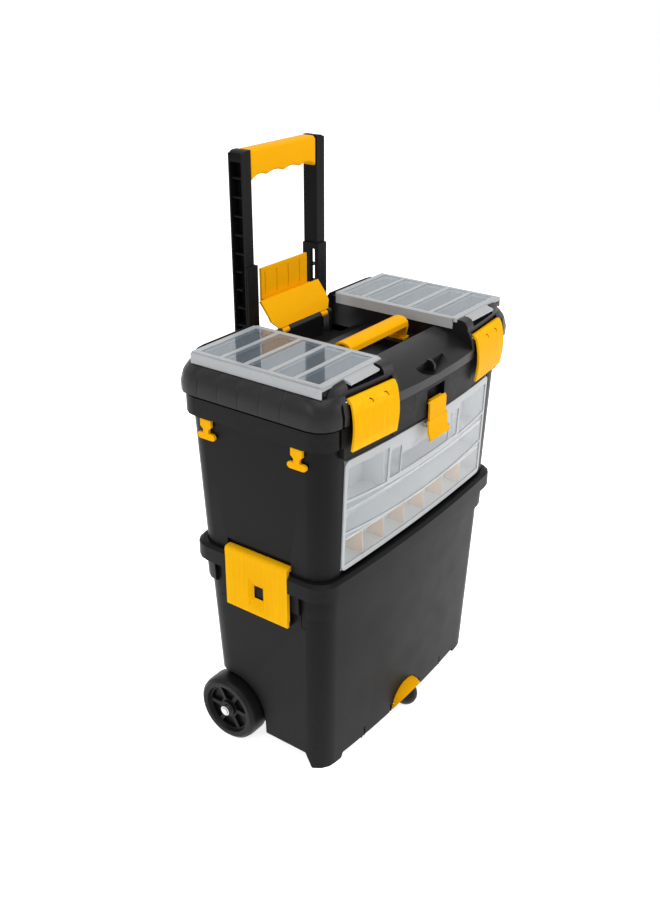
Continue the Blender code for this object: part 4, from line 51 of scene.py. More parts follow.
slotOf = {row["node"]: row["material_slot"] for row in record["subparts"]}
print("frame loaded:", len(nodes), "nodes")

# camera: its spot and lens are fitted to the photo
cameraView = {"place": (-1.1150, -0.77885, 1.0598), "azimuth": -53.67, "pitch": 25.78,
              "lens": 42.304, "sensor": 36.0}


def addCamera(view):
    a = math.radians(view["azimuth"])
    e = math.radians(view["pitch"])
    forward = Vector((-math.sin(a) * math.cos(e), math.cos(a) * math.cos(e), -math.sin(e)))
    bpy.ops.object.camera_add(location=view["place"], rotation=forward.to_track_quat("-Z", "Y").to_euler())
    camera = bpy.context.object
    camera.data.sensor_fit = "VERTICAL"
    camera.data.sensor_height = view["sensor"]
    camera.data.lens = view["lens"]
    bpy.context.scene.camera = camera


bpy.ops.object.select_all(action="DESELECT")
addCamera(cameraView)
bpy.context.scene.view_settings.view_transform = "Standard"
print("camera set")


def link(tree, a, aSocket, b, bSocket):
    tree.links.new(a.outputs[aSocket], b.inputs[bSocket])


def newGroup(name, inputs, outputs):
    group = bpy.data.node_groups.new(name, "ShaderNodeTree")
    for label, default in inputs:
        socket = group.interface.new_socket(label, in_out="INPUT", socket_type="NodeSocketFloat")
        socket.default_value = default
    for label in outputs:
        group.interface.new_socket(label, in_out="OUTPUT", socket_type="NodeSocketFloat")
    return group, group.nodes.new("NodeGroupInput"), group.nodes.new("NodeGroupOutput")


# fine moulded grain, and a slow drift from place to place
grainValues = {"scale": 900.0, "softScale": 60.0, "fineDetail": 2.0, "softDetail": 4.0, "pitShare": 0.6}


def mouldGrainGroup(values):
    group, put, out = newGroup("mouldGrain", [("Scale", values["scale"]),
                                              ("Soft Scale", values["softScale"])], ["Height", "Drift"])
    coords = group.nodes.new("ShaderNodeTexCoord")
    fine = group.nodes.new("ShaderNodeTexNoise")
    fine.inputs["Detail"].default_value = values["fineDetail"]
    pits = group.nodes.new("ShaderNodeTexVoronoi")
    soft = group.nodes.new("ShaderNodeTexNoise")
    soft.inputs["Detail"].default_value = values["softDetail"]
    blend = group.nodes.new("ShaderNodeMath")
    blend.operation = "MULTIPLY_ADD"
    blend.inputs[1].default_value = values["pitShare"]
    for texture in (fine, pits):
        link(group, coords, "Object", texture, "Vector")
        link(group, put, "Scale", texture, "Scale")
    link(group, coords, "Object", soft, "Vector")
    link(group, put, "Soft Scale", soft, "Scale")
    link(group, pits, "Distance", blend, 0)
    link(group, fine, "Fac", blend, 2)
    link(group, blend, 0, out, "Height")
    link(group, soft, "Fac", out, "Drift")
    return group


# painted highlight: paler colour on pointed edges, broken up by noise
paintedHighlightValues = {"low": 0.52, "high": 0.62, "scale": 140.0}


def paintedHighlightGroup(values):
    group, put, out = newGroup("paintedEdgeHighlight", [("Low", values["low"]), ("High", values["high"]),
                                           ("Scale", values["scale"])], ["Mask"])
    geometry = group.nodes.new("ShaderNodeNewGeometry")
    coords = group.nodes.new("ShaderNodeTexCoord")
    breakUp = group.nodes.new("ShaderNodeTexNoise")
    reach = group.nodes.new("ShaderNodeMapRange")
    mixed = group.nodes.new("ShaderNodeMath")
    mixed.operation = "MULTIPLY"
    link(group, coords, "Object", breakUp, "Vector")
    link(group, put, "Scale", breakUp, "Scale")
    link(group, geometry, "Pointiness", reach, "Value")
    link(group, put, "Low", reach, "From Min")
    link(group, put, "High", reach, "From Max")
    link(group, reach, "Result", mixed, 0)
    link(group, breakUp, "Fac", mixed, 1)
    link(group, mixed, 0, out, "Mask")
    return group


# upright streaks, as on the yellow clamps and latches
streakValues = {"across": 420.0, "along": 9.0, "noiseScale": 1.0, "detail": 1.0, "cutoff": (0.4, 0.6)}


def drawStreakGroup(values):
    group, put, out = newGroup("drawStreak", [("Across", values["across"]),
                                              ("Along", values["along"])], ["Mask"])
    coords = group.nodes.new("ShaderNodeTexCoord")
    stretch = group.nodes.new("ShaderNodeVectorMath")
    stretch.operation = "MULTIPLY"
    scales = group.nodes.new("ShaderNodeCombineXYZ")
    lines = group.nodes.new("ShaderNodeTexNoise")
    lines.inputs["Scale"].default_value = values["noiseScale"]
    lines.inputs["Detail"].default_value = values["detail"]
    sharpen = group.nodes.new("ShaderNodeMapRange")
    sharpen.inputs["From Min"].default_value = values["cutoff"][0]
    sharpen.inputs["From Max"].default_value = values["cutoff"][1]
    link(group, put, "Across", scales, "X")
    link(group, put, "Across", scales, "Y")
    link(group, put, "Along", scales, "Z")
    link(group, coords, "Object", stretch, 0)
    link(group, scales, "Vector", stretch, 1)
    link(group, stretch, "Vector", lines, "Vector")
    link(group, lines, "Fac", sharpen, "Value")
    link(group, sharpen, "Result", out, "Mask")
    return group


mouldGrain = mouldGrainGroup(grainValues)
paintedEdgeHighlight = paintedHighlightGroup(paintedHighlightValues)
drawStreak = drawStreakGroup(streakValues)

# what every finish has unless its own look says otherwise
# edgeShare is how much of a look's edge colour, a painted edge highlight, is laid on
plainLook = {"driftScale": 18.0, "driftSpan": (0.3, 0.7), "edgeShare": 0.5, "bumpDepth": 0.0002,
             "metallic": 0.0, "specular": 0.5, "transmission": 0.0, "ior": 1.5}


def plasticFinish(name, ownLook):
    look = {**plainLook, **ownLook}
    material = bpy.data.materials.new(name)
    material.use_nodes = True
    tree = material.node_tree
    shader = tree.nodes["Principled BSDF"]
    grain = tree.nodes.new("ShaderNodeGroup")
    grain.node_tree = mouldGrain
    grain.inputs["Scale"].default_value = look["grainScale"]
    grain.inputs["Soft Scale"].default_value = look["driftScale"]
    edgeHighlight = tree.nodes.new("ShaderNodeGroup")
    edgeHighlight.node_tree = paintedEdgeHighlight
    tone = tree.nodes.new("ShaderNodeMix")
    tone.data_type = "RGBA"
    tone.inputs["A"].default_value = (*look["dark"], 1)
    tone.inputs["B"].default_value = (*look["light"], 1)
    # painted highlight: the look's edge colour mixed in where the edge mask is high
    highlighted = tree.nodes.new("ShaderNodeMix")
    highlighted.data_type = "RGBA"
    highlighted.inputs["B"].default_value = (*look["edge"], 1)
    share = tree.nodes.new("ShaderNodeMath")
    share.operation = "MULTIPLY"
    share.inputs[1].default_value = look["edgeShare"]
    gloss = tree.nodes.new("ShaderNodeMapRange")
    gloss.inputs["From Min"].default_value = look["driftSpan"][0]
    gloss.inputs["From Max"].default_value = look["driftSpan"][1]
    gloss.inputs["To Min"].default_value = look["roughness"][0]
    gloss.inputs["To Max"].default_value = look["roughness"][1]
    bump = tree.nodes.new("ShaderNodeBump")
    bump.inputs["Strength"].default_value = look["bump"]
    bump.inputs["Distance"].default_value = look["bumpDepth"]
    if "streak" in look:
        streak = tree.nodes.new("ShaderNodeGroup")
        streak.node_tree = drawStreak
        blend = tree.nodes.new("ShaderNodeMix")
        blend.inputs["Factor"].default_value = look["streak"]
        link(tree, grain, "Drift", blend, "A")
        link(tree, streak, "Mask", blend, "B")
        link(tree, blend, "Result", tone, "Factor")
    else:
        link(tree, grain, "Drift", tone, "Factor")
    link(tree, tone, "Result", highlighted, "A")
    link(tree, edgeHighlight, "Mask", share, 0)
    link(tree, share, 0, highlighted, "Factor")
    link(tree, highlighted, "Result", shader, "Base Color")
    link(tree, grain, "Drift", gloss, "Value")
    link(tree, gloss, "Result", shader, "Roughness")
    link(tree, grain, "Height", bump, "Height")
    link(tree, bump, "Normal", shader, "Normal")
    shader.inputs["Metallic"].default_value = look["metallic"]
    shader.inputs["Specular IOR Level"].default_value = look["specular"]
    shader.inputs["Transmission Weight"].default_value = look["transmission"]
    shader.inputs["IOR"].default_value = look["ior"]
    return material


# each look's edge colour is a painted highlight along its sharp edges
charcoalLook = {"dark": (0.0044, 0.0040, 0.0042), "light": (0.0070, 0.0065, 0.0066),
                "edge": (0.04, 0.04, 0.04), "roughness": (0.38, 0.46), "grainScale": 1300.0, "bump": 0.10,
                "specular": 0.085}
lidLook = {**charcoalLook, "roughness": (0.30, 0.40), "specular": 0.24}
railLook = {"dark": (0.0048, 0.0047, 0.0050), "light": (0.0075, 0.0073, 0.0076),
            "edge": (0.035, 0.035, 0.035), "roughness": (0.34, 0.44), "grainScale": 1500.0, "bump": 0.10,
            "specular": 0.05}
yellowLook = {"dark": (0.77, 0.34, 0.0005), "light": (0.83, 0.385, 0.0008), "edge": (0.95, 0.58, 0.02),
              "roughness": (0.36, 0.46), "grainScale": 900.0, "bump": 0.05, "specular": 0.02}
streakLook = {**yellowLook, "dark": (0.74, 0.345, 0.0005), "light": (0.82, 0.42, 0.0008), "streak": 0.45}
milkyLook = {"dark": (0.370, 0.388, 0.400), "light": (0.425, 0.440, 0.452), "edge": (0.50, 0.515, 0.525),
             "roughness": (0.28, 0.40), "grainScale": 700.0, "bump": 0.04, "specular": 0.4,
             "transmission": 0.15}
paneLook = {"dark": (0.62, 0.73, 0.82), "light": (0.70, 0.79, 0.87), "edge": (0.8, 0.86, 0.9),
            "roughness": (0.02, 0.05), "grainScale": 400.0, "bump": 0.0, "transmission": 0.88, "ior": 1.48}
hazeLook = {"dark": (0.90, 0.92, 0.935), "light": (0.94, 0.955, 0.965), "edge": (0.95, 0.96, 0.97),
            "roughness": (0.01, 0.025), "grainScale": 500.0, "bump": 0.0, "transmission": 0.92, "ior": 1.3}
trayLook = {"dark": (0.76, 0.80, 0.83), "light": (0.82, 0.85, 0.87), "edge": (0.90, 0.91, 0.92),
            "roughness": (0.32, 0.44), "grainScale": 700.0, "bump": 0.04, "transmission": 0.2}
coverLook = {"dark": (0.375, 0.395, 0.408), "light": (0.43, 0.445, 0.455), "edge": (0.60, 0.61, 0.62),
             "roughness": (0.26, 0.36), "grainScale": 700.0, "bump": 0.04, "specular": 0.3}
beigeLook = {"dark": (0.80, 0.44, 0.15), "light": (0.88, 0.52, 0.20), "edge": (0.92, 0.62, 0.30),
             "roughness": (0.45, 0.6), "grainScale": 900.0, "bump": 0.06}
zincLook = {"dark": (0.50, 0.51, 0.52), "light": (0.68, 0.68, 0.68), "edge": (0.8, 0.8, 0.8),
            "roughness": (0.22, 0.38), "grainScale": 500.0, "bump": 0.08, "metallic": 1.0}
wheelLook = {"dark": (0.0042, 0.0042, 0.0045), "light": (0.0068, 0.0068, 0.0070), "edge": (0.03, 0.03, 0.03),
             "roughness": (0.36, 0.48), "grainScale": 1100.0, "bump": 0.14, "specular": 0.15}

charcoal = plasticFinish("charcoalShell", charcoalLook)
lidCharcoal = plasticFinish("charcoalLid", lidLook)
railBlack = plasticFinish("railBlack", railLook)
yellow = plasticFinish("yellowFitting", yellowLook)
yellowStreak = plasticFinish("yellowStreaked", streakLook)
milky = plasticFinish("milkyFrame", milkyLook)
clearPane = plasticFinish("clearPane", paneLook)
hazePane = plasticFinish("hazePane", hazeLook)
milkyTray = plasticFinish("milkyTray", trayLook)
milkyCover = plasticFinish("milkyCover", coverLook)
beige = plasticFinish("beigeDivider", beigeLook)
zinc = plasticFinish("zincSteel", zincLook)
wheelBlack = plasticFinish("wheelBlack", wheelLook)
print("finishes made")

bothSides = (("left", -1), ("right", 1))
tiny = 2e-5      # lengths under this count as none
overcut = 0.01   # how far a cutter reaches past a face
merging = {"doubles": 0.00002, "flatAngle": 0.5}
softEdge = {"segments": 2, "sharpAngle": 32, "smoothAngle": 38, "weight": 60}


def clearSelection():
    if bpy.context.mode != "OBJECT":
        bpy.ops.object.mode_set(mode="OBJECT")
    bpy.ops.object.select_all(action="DESELECT")


def pick(piece):
    clearSelection()
    piece.select_set(True)
    bpy.context.view_layer.objects.active = piece


def openEdit(piece):
    pick(piece)
    bpy.ops.object.mode_set(mode="EDIT")
    bpy.ops.mesh.select_all(action="SELECT")


def closeEdit():
    bpy.ops.object.mode_set(mode="OBJECT")


def applyModifier(piece, kind, name, **settings):
    pick(piece)
    modifier = piece.modifiers.new(name, kind)
    for key, value in settings.items():
        setattr(modifier, key, value)
    bpy.ops.object.modifier_apply(modifier=name)


# a node's mesh as a new object, its loose triangles merged
def copyNode(node, joinFlats=True):
    source = nodes[node]
    piece = source.copy()
    piece.data = source.data.copy()
    piece.name = node + "_dressed"
    piece.parent = None
    piece.hide_render = False
    piece.hide_viewport = False
    for key in list(piece.keys()):
        del piece[key]
    bpy.context.scene.collection.objects.link(piece)
    openEdit(piece)
    bpy.ops.mesh.remove_doubles(threshold=merging["doubles"])
    if joinFlats:
        bpy.ops.mesh.dissolve_limited(angle_limit=math.radians(merging["flatAngle"]))
    closeEdit()
    return piece


def softenEdges(piece, width):
    applyModifier(piece, "BEVEL", "softEdges", width=width, segments=softEdge["segments"],
                  limit_method="ANGLE", angle_limit=math.radians(softEdge["sharpAngle"]),
                  use_clamp_overlap=True, miter_outer="MITER_ARC")
    bpy.ops.object.shade_smooth_by_angle(angle=math.radians(softEdge["smoothAngle"]))
    applyModifier(piece, "WEIGHTED_NORMAL", "evenShade", keep_sharp=True, weight=softEdge["weight"])


def seat(piece, node, finish):
    piece.data.materials.clear()
    piece.data.materials.append(finish)
    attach(piece, bodyOf[node])
    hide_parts(node)


def chooseEdges(piece, test):
    bpy.ops.mesh.select_mode(type="EDGE")
    bpy.ops.mesh.select_all(action="DESELECT")
    mesh = bmesh.from_edit_mesh(piece.data)
    for edge in mesh.edges:
        edge.select_set(test(edge.verts[0].co, edge.verts[1].co))
    bmesh.update_edit_mesh(piece.data)


def chooseFaces(piece, test):
    bpy.ops.mesh.select_mode(type="FACE")
    bpy.ops.mesh.select_all(action="DESELECT")
    mesh = bmesh.from_edit_mesh(piece.data)
    for face in mesh.faces:
        face.select_set(test(face.calc_center_median(), face.normal))
    bmesh.update_edit_mesh(piece.data)


def chooseVerts(piece, test):
    bpy.ops.mesh.select_mode(type="VERT")
    bpy.ops.mesh.select_all(action="DESELECT")
    mesh = bmesh.from_edit_mesh(piece.data)
    for vert in mesh.verts:
        vert.select_set(test(vert.co))
    bmesh.update_edit_mesh(piece.data)


def mirrored(span, side):
    return sorted(side * value for value in span)


def middleOf(low, high):
    return [(a + b) / 2 for a, b in zip(low, high)]


cornerSegments = 3


# a block between two corners, its edges along one axis rounded
def addBlock(name, low, high, rounding=0.0, along=2):
    clearSelection()
    bpy.ops.mesh.primitive_cube_add(size=1.0, location=(0, 0, 0))
    block = bpy.context.object
    block.name = name
    openEdit(block)
    bpy.ops.transform.resize(value=[b - a for a, b in zip(low, high)], center_override=(0, 0, 0))
    bpy.ops.transform.translate(value=middleOf(low, high))
    if rounding:
        chooseEdges(block, lambda a, b: abs(a[along] - b[along]) > tiny)
        bpy.ops.mesh.bevel(offset=rounding, segments=cornerSegments, affect="EDGES")
    closeEdit()
    return block


def addBlocks(name, spans, rounding=0.0):
    blocks = [addBlock(name, low, high, rounding) for low, high in spans]
    clearSelection()
    for block in blocks:
        block.select_set(True)
    bpy.context.view_layer.objects.active = blocks[0]
    bpy.ops.object.join()
    return blocks[0]


discSides = 24


# a disc across the x axis, centre given as y and z
def addDisc(name, radius, low, high, centre):
    clearSelection()
    bpy.ops.mesh.primitive_cylinder_add(vertices=discSides, radius=radius, depth=high - low,
                                        rotation=(0, math.pi / 2, 0))
    disc = bpy.context.object
    disc.name = name
    bpy.ops.object.transform_apply(location=False, rotation=True, scale=False)
    openEdit(disc)
    bpy.ops.transform.translate(value=((low + high) / 2, *centre))
    closeEdit()
    return disc


def carve(piece, tool, how="DIFFERENCE"):
    applyModifier(piece, "BOOLEAN", "carve", object=tool, operation=how, solver="EXACT")
    bpy.data.objects.remove(tool)


# clear lids over the two sets of wells: milky frame, clear pane sheet
clearLid = {"paneX": (0.0975, 0.2075), "firstPane": -0.09605, "panePitch": 0.0385, "paneLength": 0.0320,
            "panes": 5, "holeZ": (0.585, 0.600), "paneZ": (0.5937, 0.5949), "corner": 0.0012, "lap": 0.0016,
            "stepX": (0.2139, 0.2300), "stepZ": (0.5941, 0.6100), "stepY": (-0.20, 0.20),
            "lipX": (0.0891, 0.0908), "lipY": (-0.1000, 0.0960), "lipZ": (0.5808, 0.5953),
            "lipTopX": (0.0892, 0.0940), "lipTopZ": (0.5899, 0.5952), "soft": 0.0005, "paneSoft": 0.0005 / 3}


def dressClearLid(word, side, look):
    node = "organiser_lid_" + word
    border = copyNode(node)
    x = mirrored(look["paneX"], side)
    starts = [look["firstPane"] + index * look["panePitch"] for index in range(look["panes"])]
    low, high = look["holeZ"]
    holes = [((x[0], y, low), (x[1], y + look["paneLength"], high)) for y in starts]
    carve(border, addBlocks("paneHoles", holes, look["corner"]))
    edge = mirrored(look["stepX"], side)
    carve(border, addBlock("outerStep", (edge[0], look["stepY"][0], look["stepZ"][0]),
                           (edge[1], look["stepY"][1], look["stepZ"][1])))
    y = look["lipY"]
    for spanX, spanZ in ((look["lipTopX"], look["lipTopZ"]), (look["lipX"], look["lipZ"])):
        x0, x1 = mirrored(spanX, side)
        carve(border, addBlock("innerLip", (x0, y[0], spanZ[0]), (x1, y[1], spanZ[1])), "UNION")
    softenEdges(border, look["soft"])
    seat(border, node, milky)
    lap = look["lap"]
    sheet = addBlock(node + "_pane", (x[0] - lap, starts[0] - lap, look["paneZ"][0]),
                     (x[1] + lap, starts[-1] + look["paneLength"] + lap, look["paneZ"][1]), look["corner"])
    softenEdges(sheet, look["paneSoft"])
    seat(sheet, node, clearPane)


for word, side in bothSides:
    dressClearLid(word, side, clearLid)
print("clear lids made")

# front organiser's cover: frame lines that curve up at both ends, thin hazy pane between them
frontCover = {"half": 0.1725, "lowZ": 0.3365, "topZ": 0.4765, "lowLine": 0.3752, "lowRise": 0.0085,
              "lowHalf": 0.0018, "highLine": 0.4225, "highRise": 0.0075, "highHalf": 0.0020,
              "barX": (0.0858, 0.0902), "lineX": 0.0622, "windowX": 0.0600, "windowZ": (0.4290, 0.4565),
              "sideZ": (0.4290, 0.4700), "reachY": (-0.2, -0.05), "corner": 0.0012, "steps": 14,
              "paneBox": ((-0.1742, -0.2, 0.3340), (0.1742, 0.0, 0.4785)), "paneFront": 0.0006,
              "paneBack": -0.0008, "facing": 0.5, "soft": 0.0005, "paneSoft": 0.0005 / 3}


# a window whose lower and upper edges rise toward the cover's two ends
def addBowedWindow(span, lowRise, highRise, look):
    (x0, z0), (x1, z1) = span
    y = look["reachY"]
    block = addBlock("bowedWindow", (x0, y[0], z0), (x1, y[1], z1), look["corner"], 1)
    openEdit(block)
    for step in range(1, look["steps"]):
        bpy.ops.mesh.select_all(action="SELECT")
        bpy.ops.mesh.bisect(plane_co=(x0 + (x1 - x0) * step / look["steps"], 0, 0), plane_no=(1, 0, 0))
    columns = sorted({round(vert.co.x, 5) for vert in bmesh.from_edit_mesh(block.data).verts})
    middle = (z0 + z1) / 2
    for x in columns:
        for upper, rise in ((False, lowRise), (True, highRise)):
            chooseVerts(block, lambda c: abs(c.x - x) < tiny and upper == (c.z > middle))
            bpy.ops.transform.translate(value=(0, 0, rise * (x / look["half"]) ** 2))
    closeEdit()
    return block


def coverWindows(look):
    half, bar = look["half"], look["barX"]
    low, high = look["lowLine"], look["highLine"]
    thin, thick = look["lowHalf"], look["highHalf"]
    rows = [(((-half, look["lowZ"]), (half, low - thin)), 0.0, look["lowRise"]),
            (((-half, low + thin), (half, high - thick)), look["lowRise"], look["highRise"]),
            (((-look["windowX"], look["windowZ"][0]), (look["windowX"], look["windowZ"][1])), 0.0, 0.0)]
    for side in (-1, 1):
        x0, x1 = mirrored((bar[1], half), side)
        rows.append((((x0, high + thick), (x1, look["topZ"])), look["highRise"], 0.0))
        x0, x1 = mirrored((look["lineX"], bar[0]), side)
        rows.append((((x0, look["sideZ"][0]), (x1, look["sideZ"][1])), 0.0, 0.0))
    return [addBowedWindow(*row, look) for row in rows]


def dressFrontCover(look):
    node = "front_organiser_cover"
    border = copyNode(node)
    for window in coverWindows(look):
        carve(border, window)
    softenEdges(border, look["soft"])
    seat(border, node, milkyCover)
    pane = copyNode(node)
    pane.name = node + "_pane"
    carve(pane, addBlock("paneLimit", *look["paneBox"]), "INTERSECT")
    openEdit(pane)
    for way, shift in ((-1, look["paneFront"]), (1, look["paneBack"])):
        chooseFaces(pane, lambda c, n: way * n.y > look["facing"])
        bpy.ops.transform.translate(value=(0, shift, 0))
    closeEdit()
    softenEdges(pane, look["paneSoft"])
    seat(pane, node, hazePane)


# front organiser's tray: its two upper walls stand further apart, in line with the cover's bars
frontTray = {"oldWalls": ((0.0385, 0.0450), (-0.20, -0.0772), (0.4162, 0.4850)),
             "newWalls": ((0.0866, 0.0894), (-0.1100, -0.0768), (0.4150, 0.4868)), "soft": 0.0003}


def addWallPair(name, walls):
    x, y, z = walls
    spans = [mirrored(x, side) for side in (-1, 1)]
    return addBlocks(name, [((a, y[0], z[0]), (b, y[1], z[1])) for a, b in spans])


def dressFrontTray(look):
    node = "front_organiser_tray"
    tray = copyNode(node)
    carve(tray, addWallPair("centreOpen", look["oldWalls"]))
    carve(tray, addWallPair("bayWalls", look["newWalls"]), "UNION")
    softenEdges(tray, look["soft"])
    seat(tray, node, milkyTray)


dressFrontCover(frontCover)
dressFrontTray(frontTray)
print("front organiser made")

# two curved slits near the top of each latch
latchSlit = {"radius": 0.0065, "line": 0.00095, "depth": 4.4, "sides": (48, 8), "places": (0.355, 0.69),
             "spanX": (0.0985, 0.1837), "centreZ": 0.5615, "probe": 0.7, "probeY": -0.5, "soft": 0.0006}


def addSlit(x, y, z, look):
    clearSelection()
    bpy.ops.mesh.primitive_torus_add(major_radius=look["radius"], minor_radius=look["line"],
                                     major_segments=look["sides"][0], minor_segments=look["sides"][1],
                                     rotation=(math.pi / 2, 0, 0))
    slit = bpy.context.object
    bpy.ops.object.transform_apply(location=False, rotation=True, scale=False)
    openEdit(slit)
    for normal in ((1, 0, 0), (0, 0, 1)):   # keeps the upper right quarter of the ring
        bpy.ops.mesh.select_all(action="SELECT")
        bpy.ops.mesh.bisect(plane_co=(0, 0, 0), plane_no=normal, use_fill=True, clear_inner=True)
    bpy.ops.mesh.select_all(action="SELECT")
    bpy.ops.transform.resize(value=(1, look["depth"], 1), center_override=(0, 0, 0))
    bpy.ops.transform.translate(value=(x, y, z))
    bpy.ops.mesh.normals_make_consistent(inside=False)
    closeEdit()
    return slit


def dressLatch(word, side, look):
    node = "latch_" + word
    latch = copyNode(node)
    low, high = mirrored(look["spanX"], side)
    z = look["centreZ"]
    aside = look["radius"] * look["probe"]
    for share in look["places"]:
        x = low + (high - low) * share
        place = nodes[node].ray_cast((x + aside, look["probeY"], z + aside), (0, 1, 0))[1]   # latch's face
        carve(latch, addSlit(x, place.y, z, look))
    softenEdges(latch, look["soft"])
    seat(latch, node, yellowStreak)


for word, side in bothSides:
    dressLatch(word, side, latchSlit)
print("latches made")

# shallow flutes down the lid's two ends
lidFlute = {"places": (0.0785, 0.0455, 0.0125, -0.0205, -0.0535), "half": 0.0022, "depth": 0.0010,
            "outside": 0.2180, "rangeZ": (0.5465, 0.5800), "soft": 0.0008}


def dressLid(look):
    lid = copyNode("lid")
    openEdit(lid)
    for middle in look["places"]:
        for shift in (-look["half"], 0.0, look["half"]):
            bpy.ops.mesh.select_all(action="SELECT")
            bpy.ops.mesh.bisect(plane_co=(0, middle + shift, 0), plane_no=(0, 1, 0))
    low, high = look["rangeZ"]
    for side in (-1, 1):
        chooseVerts(lid, lambda c: c.x * side > look["outside"] and low < c.z < high
                    and any(abs(c.y - middle) < tiny for middle in look["places"]))
        bpy.ops.transform.translate(value=(-side * look["depth"], 0, 0))
    closeEdit()
    softenEdges(lid, look["soft"])
    seat(lid, "lid", lidCharcoal)


dressLid(lidFlute)
print("lid made")

# step in the upper box's band, below the lid's edge at both ends, so that the seam shows
tubSeam = {"ringZ": 0.5424, "stepZ": 0.5388, "ledge": 0.0002, "endX": 0.1880, "centreY": -0.0065,
           "upright": 0.5, "shrink": (0.9902, 0.9825, 1.0), "soft": 0.0006}


def dressTub(look):
    tub = copyNode("upper_tub")
    openEdit(tub)
    for z in (look["stepZ"] - look["ledge"], look["stepZ"]):
        bpy.ops.mesh.select_all(action="SELECT")
        bpy.ops.mesh.bisect(plane_co=(0, 0, z), plane_no=(0, 0, 1))

    def outerWall(c, n):
        atEnd = look["stepZ"] < c.z < look["ringZ"] and abs(c.x) > look["endX"]
        return atEnd and abs(n.z) < look["upright"] and n.x * c.x + n.y * (c.y - look["centreY"]) > 0
    chooseFaces(tub, outerWall)
    bpy.ops.transform.resize(value=look["shrink"], center_override=(0, look["centreY"], look["ringZ"]))
    closeEdit()
    softenEdges(tub, look["soft"])
    seat(tub, "upper_tub", charcoal)


dressTub(tubSeam)
print("upper box made")

# push caps with a sunk middle and three claw slots
pushCap = {"dimple": 0.0030, "dimpleDepth": 0.0014, "slotWidth": 0.0012, "slotReach": 0.0056, "slots": 3,
           "soft": 0.0004}


def dressPushCap(word, side, look):
    node = "push_cap_" + word
    cap = copyNode(node)
    low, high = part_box(node)
    y, z = middleOf(low, high)[1:]
    tip = high[0] if side > 0 else low[0]
    span = sorted((tip - side * look["dimpleDepth"], tip + side * overcut))
    carve(cap, addDisc("dimple", look["dimple"], span[0], span[1], (y, z)))
    for index in range(look["slots"]):
        slot = addBlock("clawSlot", (span[0], -look["slotReach"], -look["slotWidth"] / 2),
                        (span[1], look["slotReach"], look["slotWidth"] / 2))
        openEdit(slot)
        bpy.ops.transform.rotate(value=math.pi * index / look["slots"], orient_axis="X",
                                 center_override=(0, 0, 0))
        bpy.ops.transform.translate(value=(0, y, z))
        closeEdit()
        carve(cap, slot)
    softenEdges(cap, look["soft"])
    seat(cap, node, zinc)


# screws with a cross recess
crossHead = {"width": 0.0009, "reach": 0.0027, "depth": 0.0013, "soft": 0.0003}


def dressScrew(node, look):
    screw = copyNode(node)
    low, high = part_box(node)
    x, z = middleOf(low, high)[::2]
    reach, width = look["reach"], look["width"] / 2
    for dx, dz in ((reach, width), (width, reach)):
        carve(screw, addBlock("crossSlot", (x - dx, high[1] - look["depth"], z - dz),
                              (x + dx, high[1] + overcut, z + dz)))
    softenEdges(screw, look["soft"])
    seat(screw, node, zinc)


for word, side in bothSides:
    dressPushCap(word, side, pushCap)
for node in sorted(nodes):
    if node.startswith("frame_screw"):
        dressScrew(node, crossHead)
print("caps and screws made")

# rear wheels with a closed web behind their spokes
wheelWeb = {"radius": 0.0384, "hole": 0.0110, "span": (0.0116, 0.0140), "soft": 0.0007}


def dressRearWheel(word, side, look):
    node = "rear_wheel_" + word
    wheel = copyNode(node)
    low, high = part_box(node)
    centre = middleOf(low, high)[1:]
    tip = high[0] if side > 0 else low[0]
    near, far = sorted(tip - side * inset for inset in look["span"])
    web = addDisc("web", look["radius"], near, far, centre)
    carve(web, addDisc("webHole", look["hole"], near - overcut, far + overcut, centre))
    carve(wheel, web, "UNION")
    softenEdges(wheel, look["soft"])
    seat(wheel, node, wheelBlack)


for word, side in bothSides:
    dressRearWheel(word, side, wheelWeb)
print("rear wheels made")

# rounded tops of the two handle posts
handlePost = {"top": 0.8195, "inner": 0.0690, "round": 0.0080, "segments": 5, "near": 0.0001,
              "flange": 0.002, "soft": 0.0007}


def dressHandlePosts(look):
    node = "pull_handle_frame"
    posts = copyNode(node)
    openEdit(posts)
    low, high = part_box(node)

    def topEdge(a, b):
        return (min(a.z, b.z) > look["top"] - look["near"] and abs(a.y - b.y) < look["near"]
                and min(abs(a.x), abs(b.x)) > look["inner"]
                and min(abs(a.y - low[1]), abs(a.y - high[1])) < look["flange"])
    chooseEdges(posts, topEdge)
    bpy.ops.mesh.bevel(offset=look["round"], segments=look["segments"], affect="EDGES", clamp_overlap=True)
    closeEdit()
    softenEdges(posts, look["soft"])
    seat(posts, node, railBlack)


dressHandlePosts(handlePost)
print("handle posts made")

# the other nodes: finish by slot or by node, and how far their edges are softened, in metres
finishOf = {"charcoal_plastic": charcoal, "yellow_plastic": yellow, "beige_plastic": beige,
            "zinc_steel": zinc, "wheel_plastic": wheelBlack}
specialFinish = {"rail_frame": railBlack, "side_clamp_left": yellowStreak, "side_clamp_right": yellowStreak}
softening = {"lower_bin": 0.0008, "rail_frame": 0.0006, "pull_grip": 0.0008, "side_clamp_left": 0.0009,
             "side_clamp_right": 0.0009, "carry_handle": 0.0008, "lock_flap": 0.0008,
             "organiser_clip": 0.0007, "caster_hood": 0.0005}
plainSoftening = 0.0004
keptTriangles = ("rail_frame",)   # its windows close if its flat faces are joined

for node in sorted(nodes):
    if not nodes[node].hide_render:
        piece = copyNode(node, node not in keptTriangles)
        softenEdges(piece, softening.get(node, plainSoftening))
        seat(piece, node, specialFinish.get(node, finishOf[slotOf[node]]))
print("other nodes dressed")

# studio: pale floor, soft light, white surround
studio = {"floorSize": 12.0, "floorColour": (0.93, 0.93, 0.93), "floorRoughness": 0.9, "floorLift": 0.78,
          "skyStrength": 0.34}


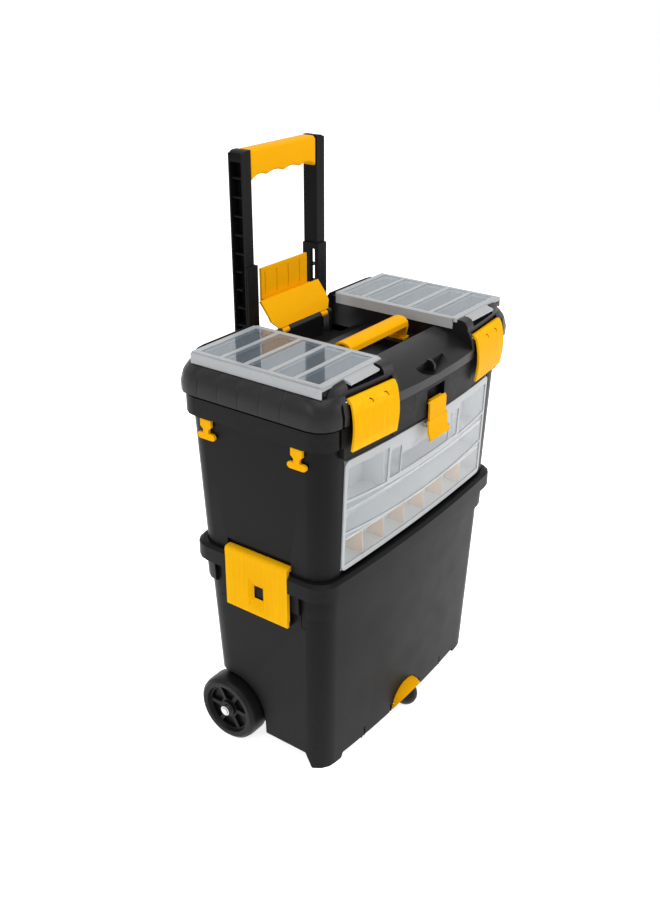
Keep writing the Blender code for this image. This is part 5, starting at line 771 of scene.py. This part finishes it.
# 1 for rays from the camera, off gloss or through glass
def seenDirectly(tree):
    path = tree.nodes.new("ShaderNodeLightPath")
    last = None
    for ray in ("Is Camera Ray", "Is Glossy Ray", "Is Transmission Ray"):
        either = tree.nodes.new("ShaderNodeMath")
        either.operation = "MAXIMUM"
        link(tree, path, ray, either, 0)
        if last:
            link(tree, last, 0, either, 1)
        last = either
    return last


def addFloor(values):
    bpy.ops.mesh.primitive_plane_add(size=values["floorSize"], location=(0, 0, 0))
    floor = bpy.context.object
    floor.name = "studioFloor"
    material = bpy.data.materials.new("studioFloor")
    material.use_nodes = True
    tree = material.node_tree
    shader = tree.nodes["Principled BSDF"]
    shader.inputs["Base Color"].default_value = (*values["floorColour"], 1)
    shader.inputs["Roughness"].default_value = values["floorRoughness"]
    glow = tree.nodes.new("ShaderNodeEmission")
    lift = tree.nodes.new("ShaderNodeMath")
    lift.operation = "MULTIPLY"
    lift.inputs[1].default_value = values["floorLift"]
    add = tree.nodes.new("ShaderNodeAddShader")
    link(tree, seenDirectly(tree), 0, lift, 0)
    link(tree, lift, 0, glow, "Strength")
    link(tree, shader, 0, add, 0)
    link(tree, glow, 0, add, 1)
    link(tree, add, 0, tree.nodes["Material Output"], "Surface")
    floor.data.materials.append(material)


def addSky(values):
    world = bpy.data.worlds.new("studioSky")
    bpy.context.scene.world = world
    world.use_nodes = True
    tree = world.node_tree
    plain = tree.nodes["Background"]
    plain.inputs["Color"].default_value = (1, 1, 1, 1)
    level = tree.nodes.new("ShaderNodeMapRange")
    level.inputs["To Min"].default_value = values["skyStrength"]
    level.inputs["To Max"].default_value = 1.0
    link(tree, seenDirectly(tree), 0, level, "Value")
    link(tree, level, "Result", plain, "Strength")


softLights = {"overhead": {"place": (-0.5, -0.6, 2.6), "aim": (0, 0, 0.4), "size": 2.2, "power": 30.0},
              "leftRear": {"place": (-2.3, 0.5, 1.6), "aim": (0, 0, 0.45), "size": 1.2, "power": 9.0},
              "rightFront": {"place": (1.3, -2.2, 1.2), "aim": (0, 0, 0.4), "size": 1.2, "power": 14.5}}


def addLights(rows):
    for name, row in rows.items():
        toward = Vector(row["aim"]) - Vector(row["place"])
        bpy.ops.object.light_add(type="AREA", location=row["place"],
                                 rotation=toward.to_track_quat("-Z", "Y").to_euler())
        lamp = bpy.context.object
        lamp.name = name
        lamp.data.size = row["size"]
        lamp.data.energy = row["power"]


clearSelection()
addFloor(studio)
addSky(studio)
addLights(softLights)
print("studio set")
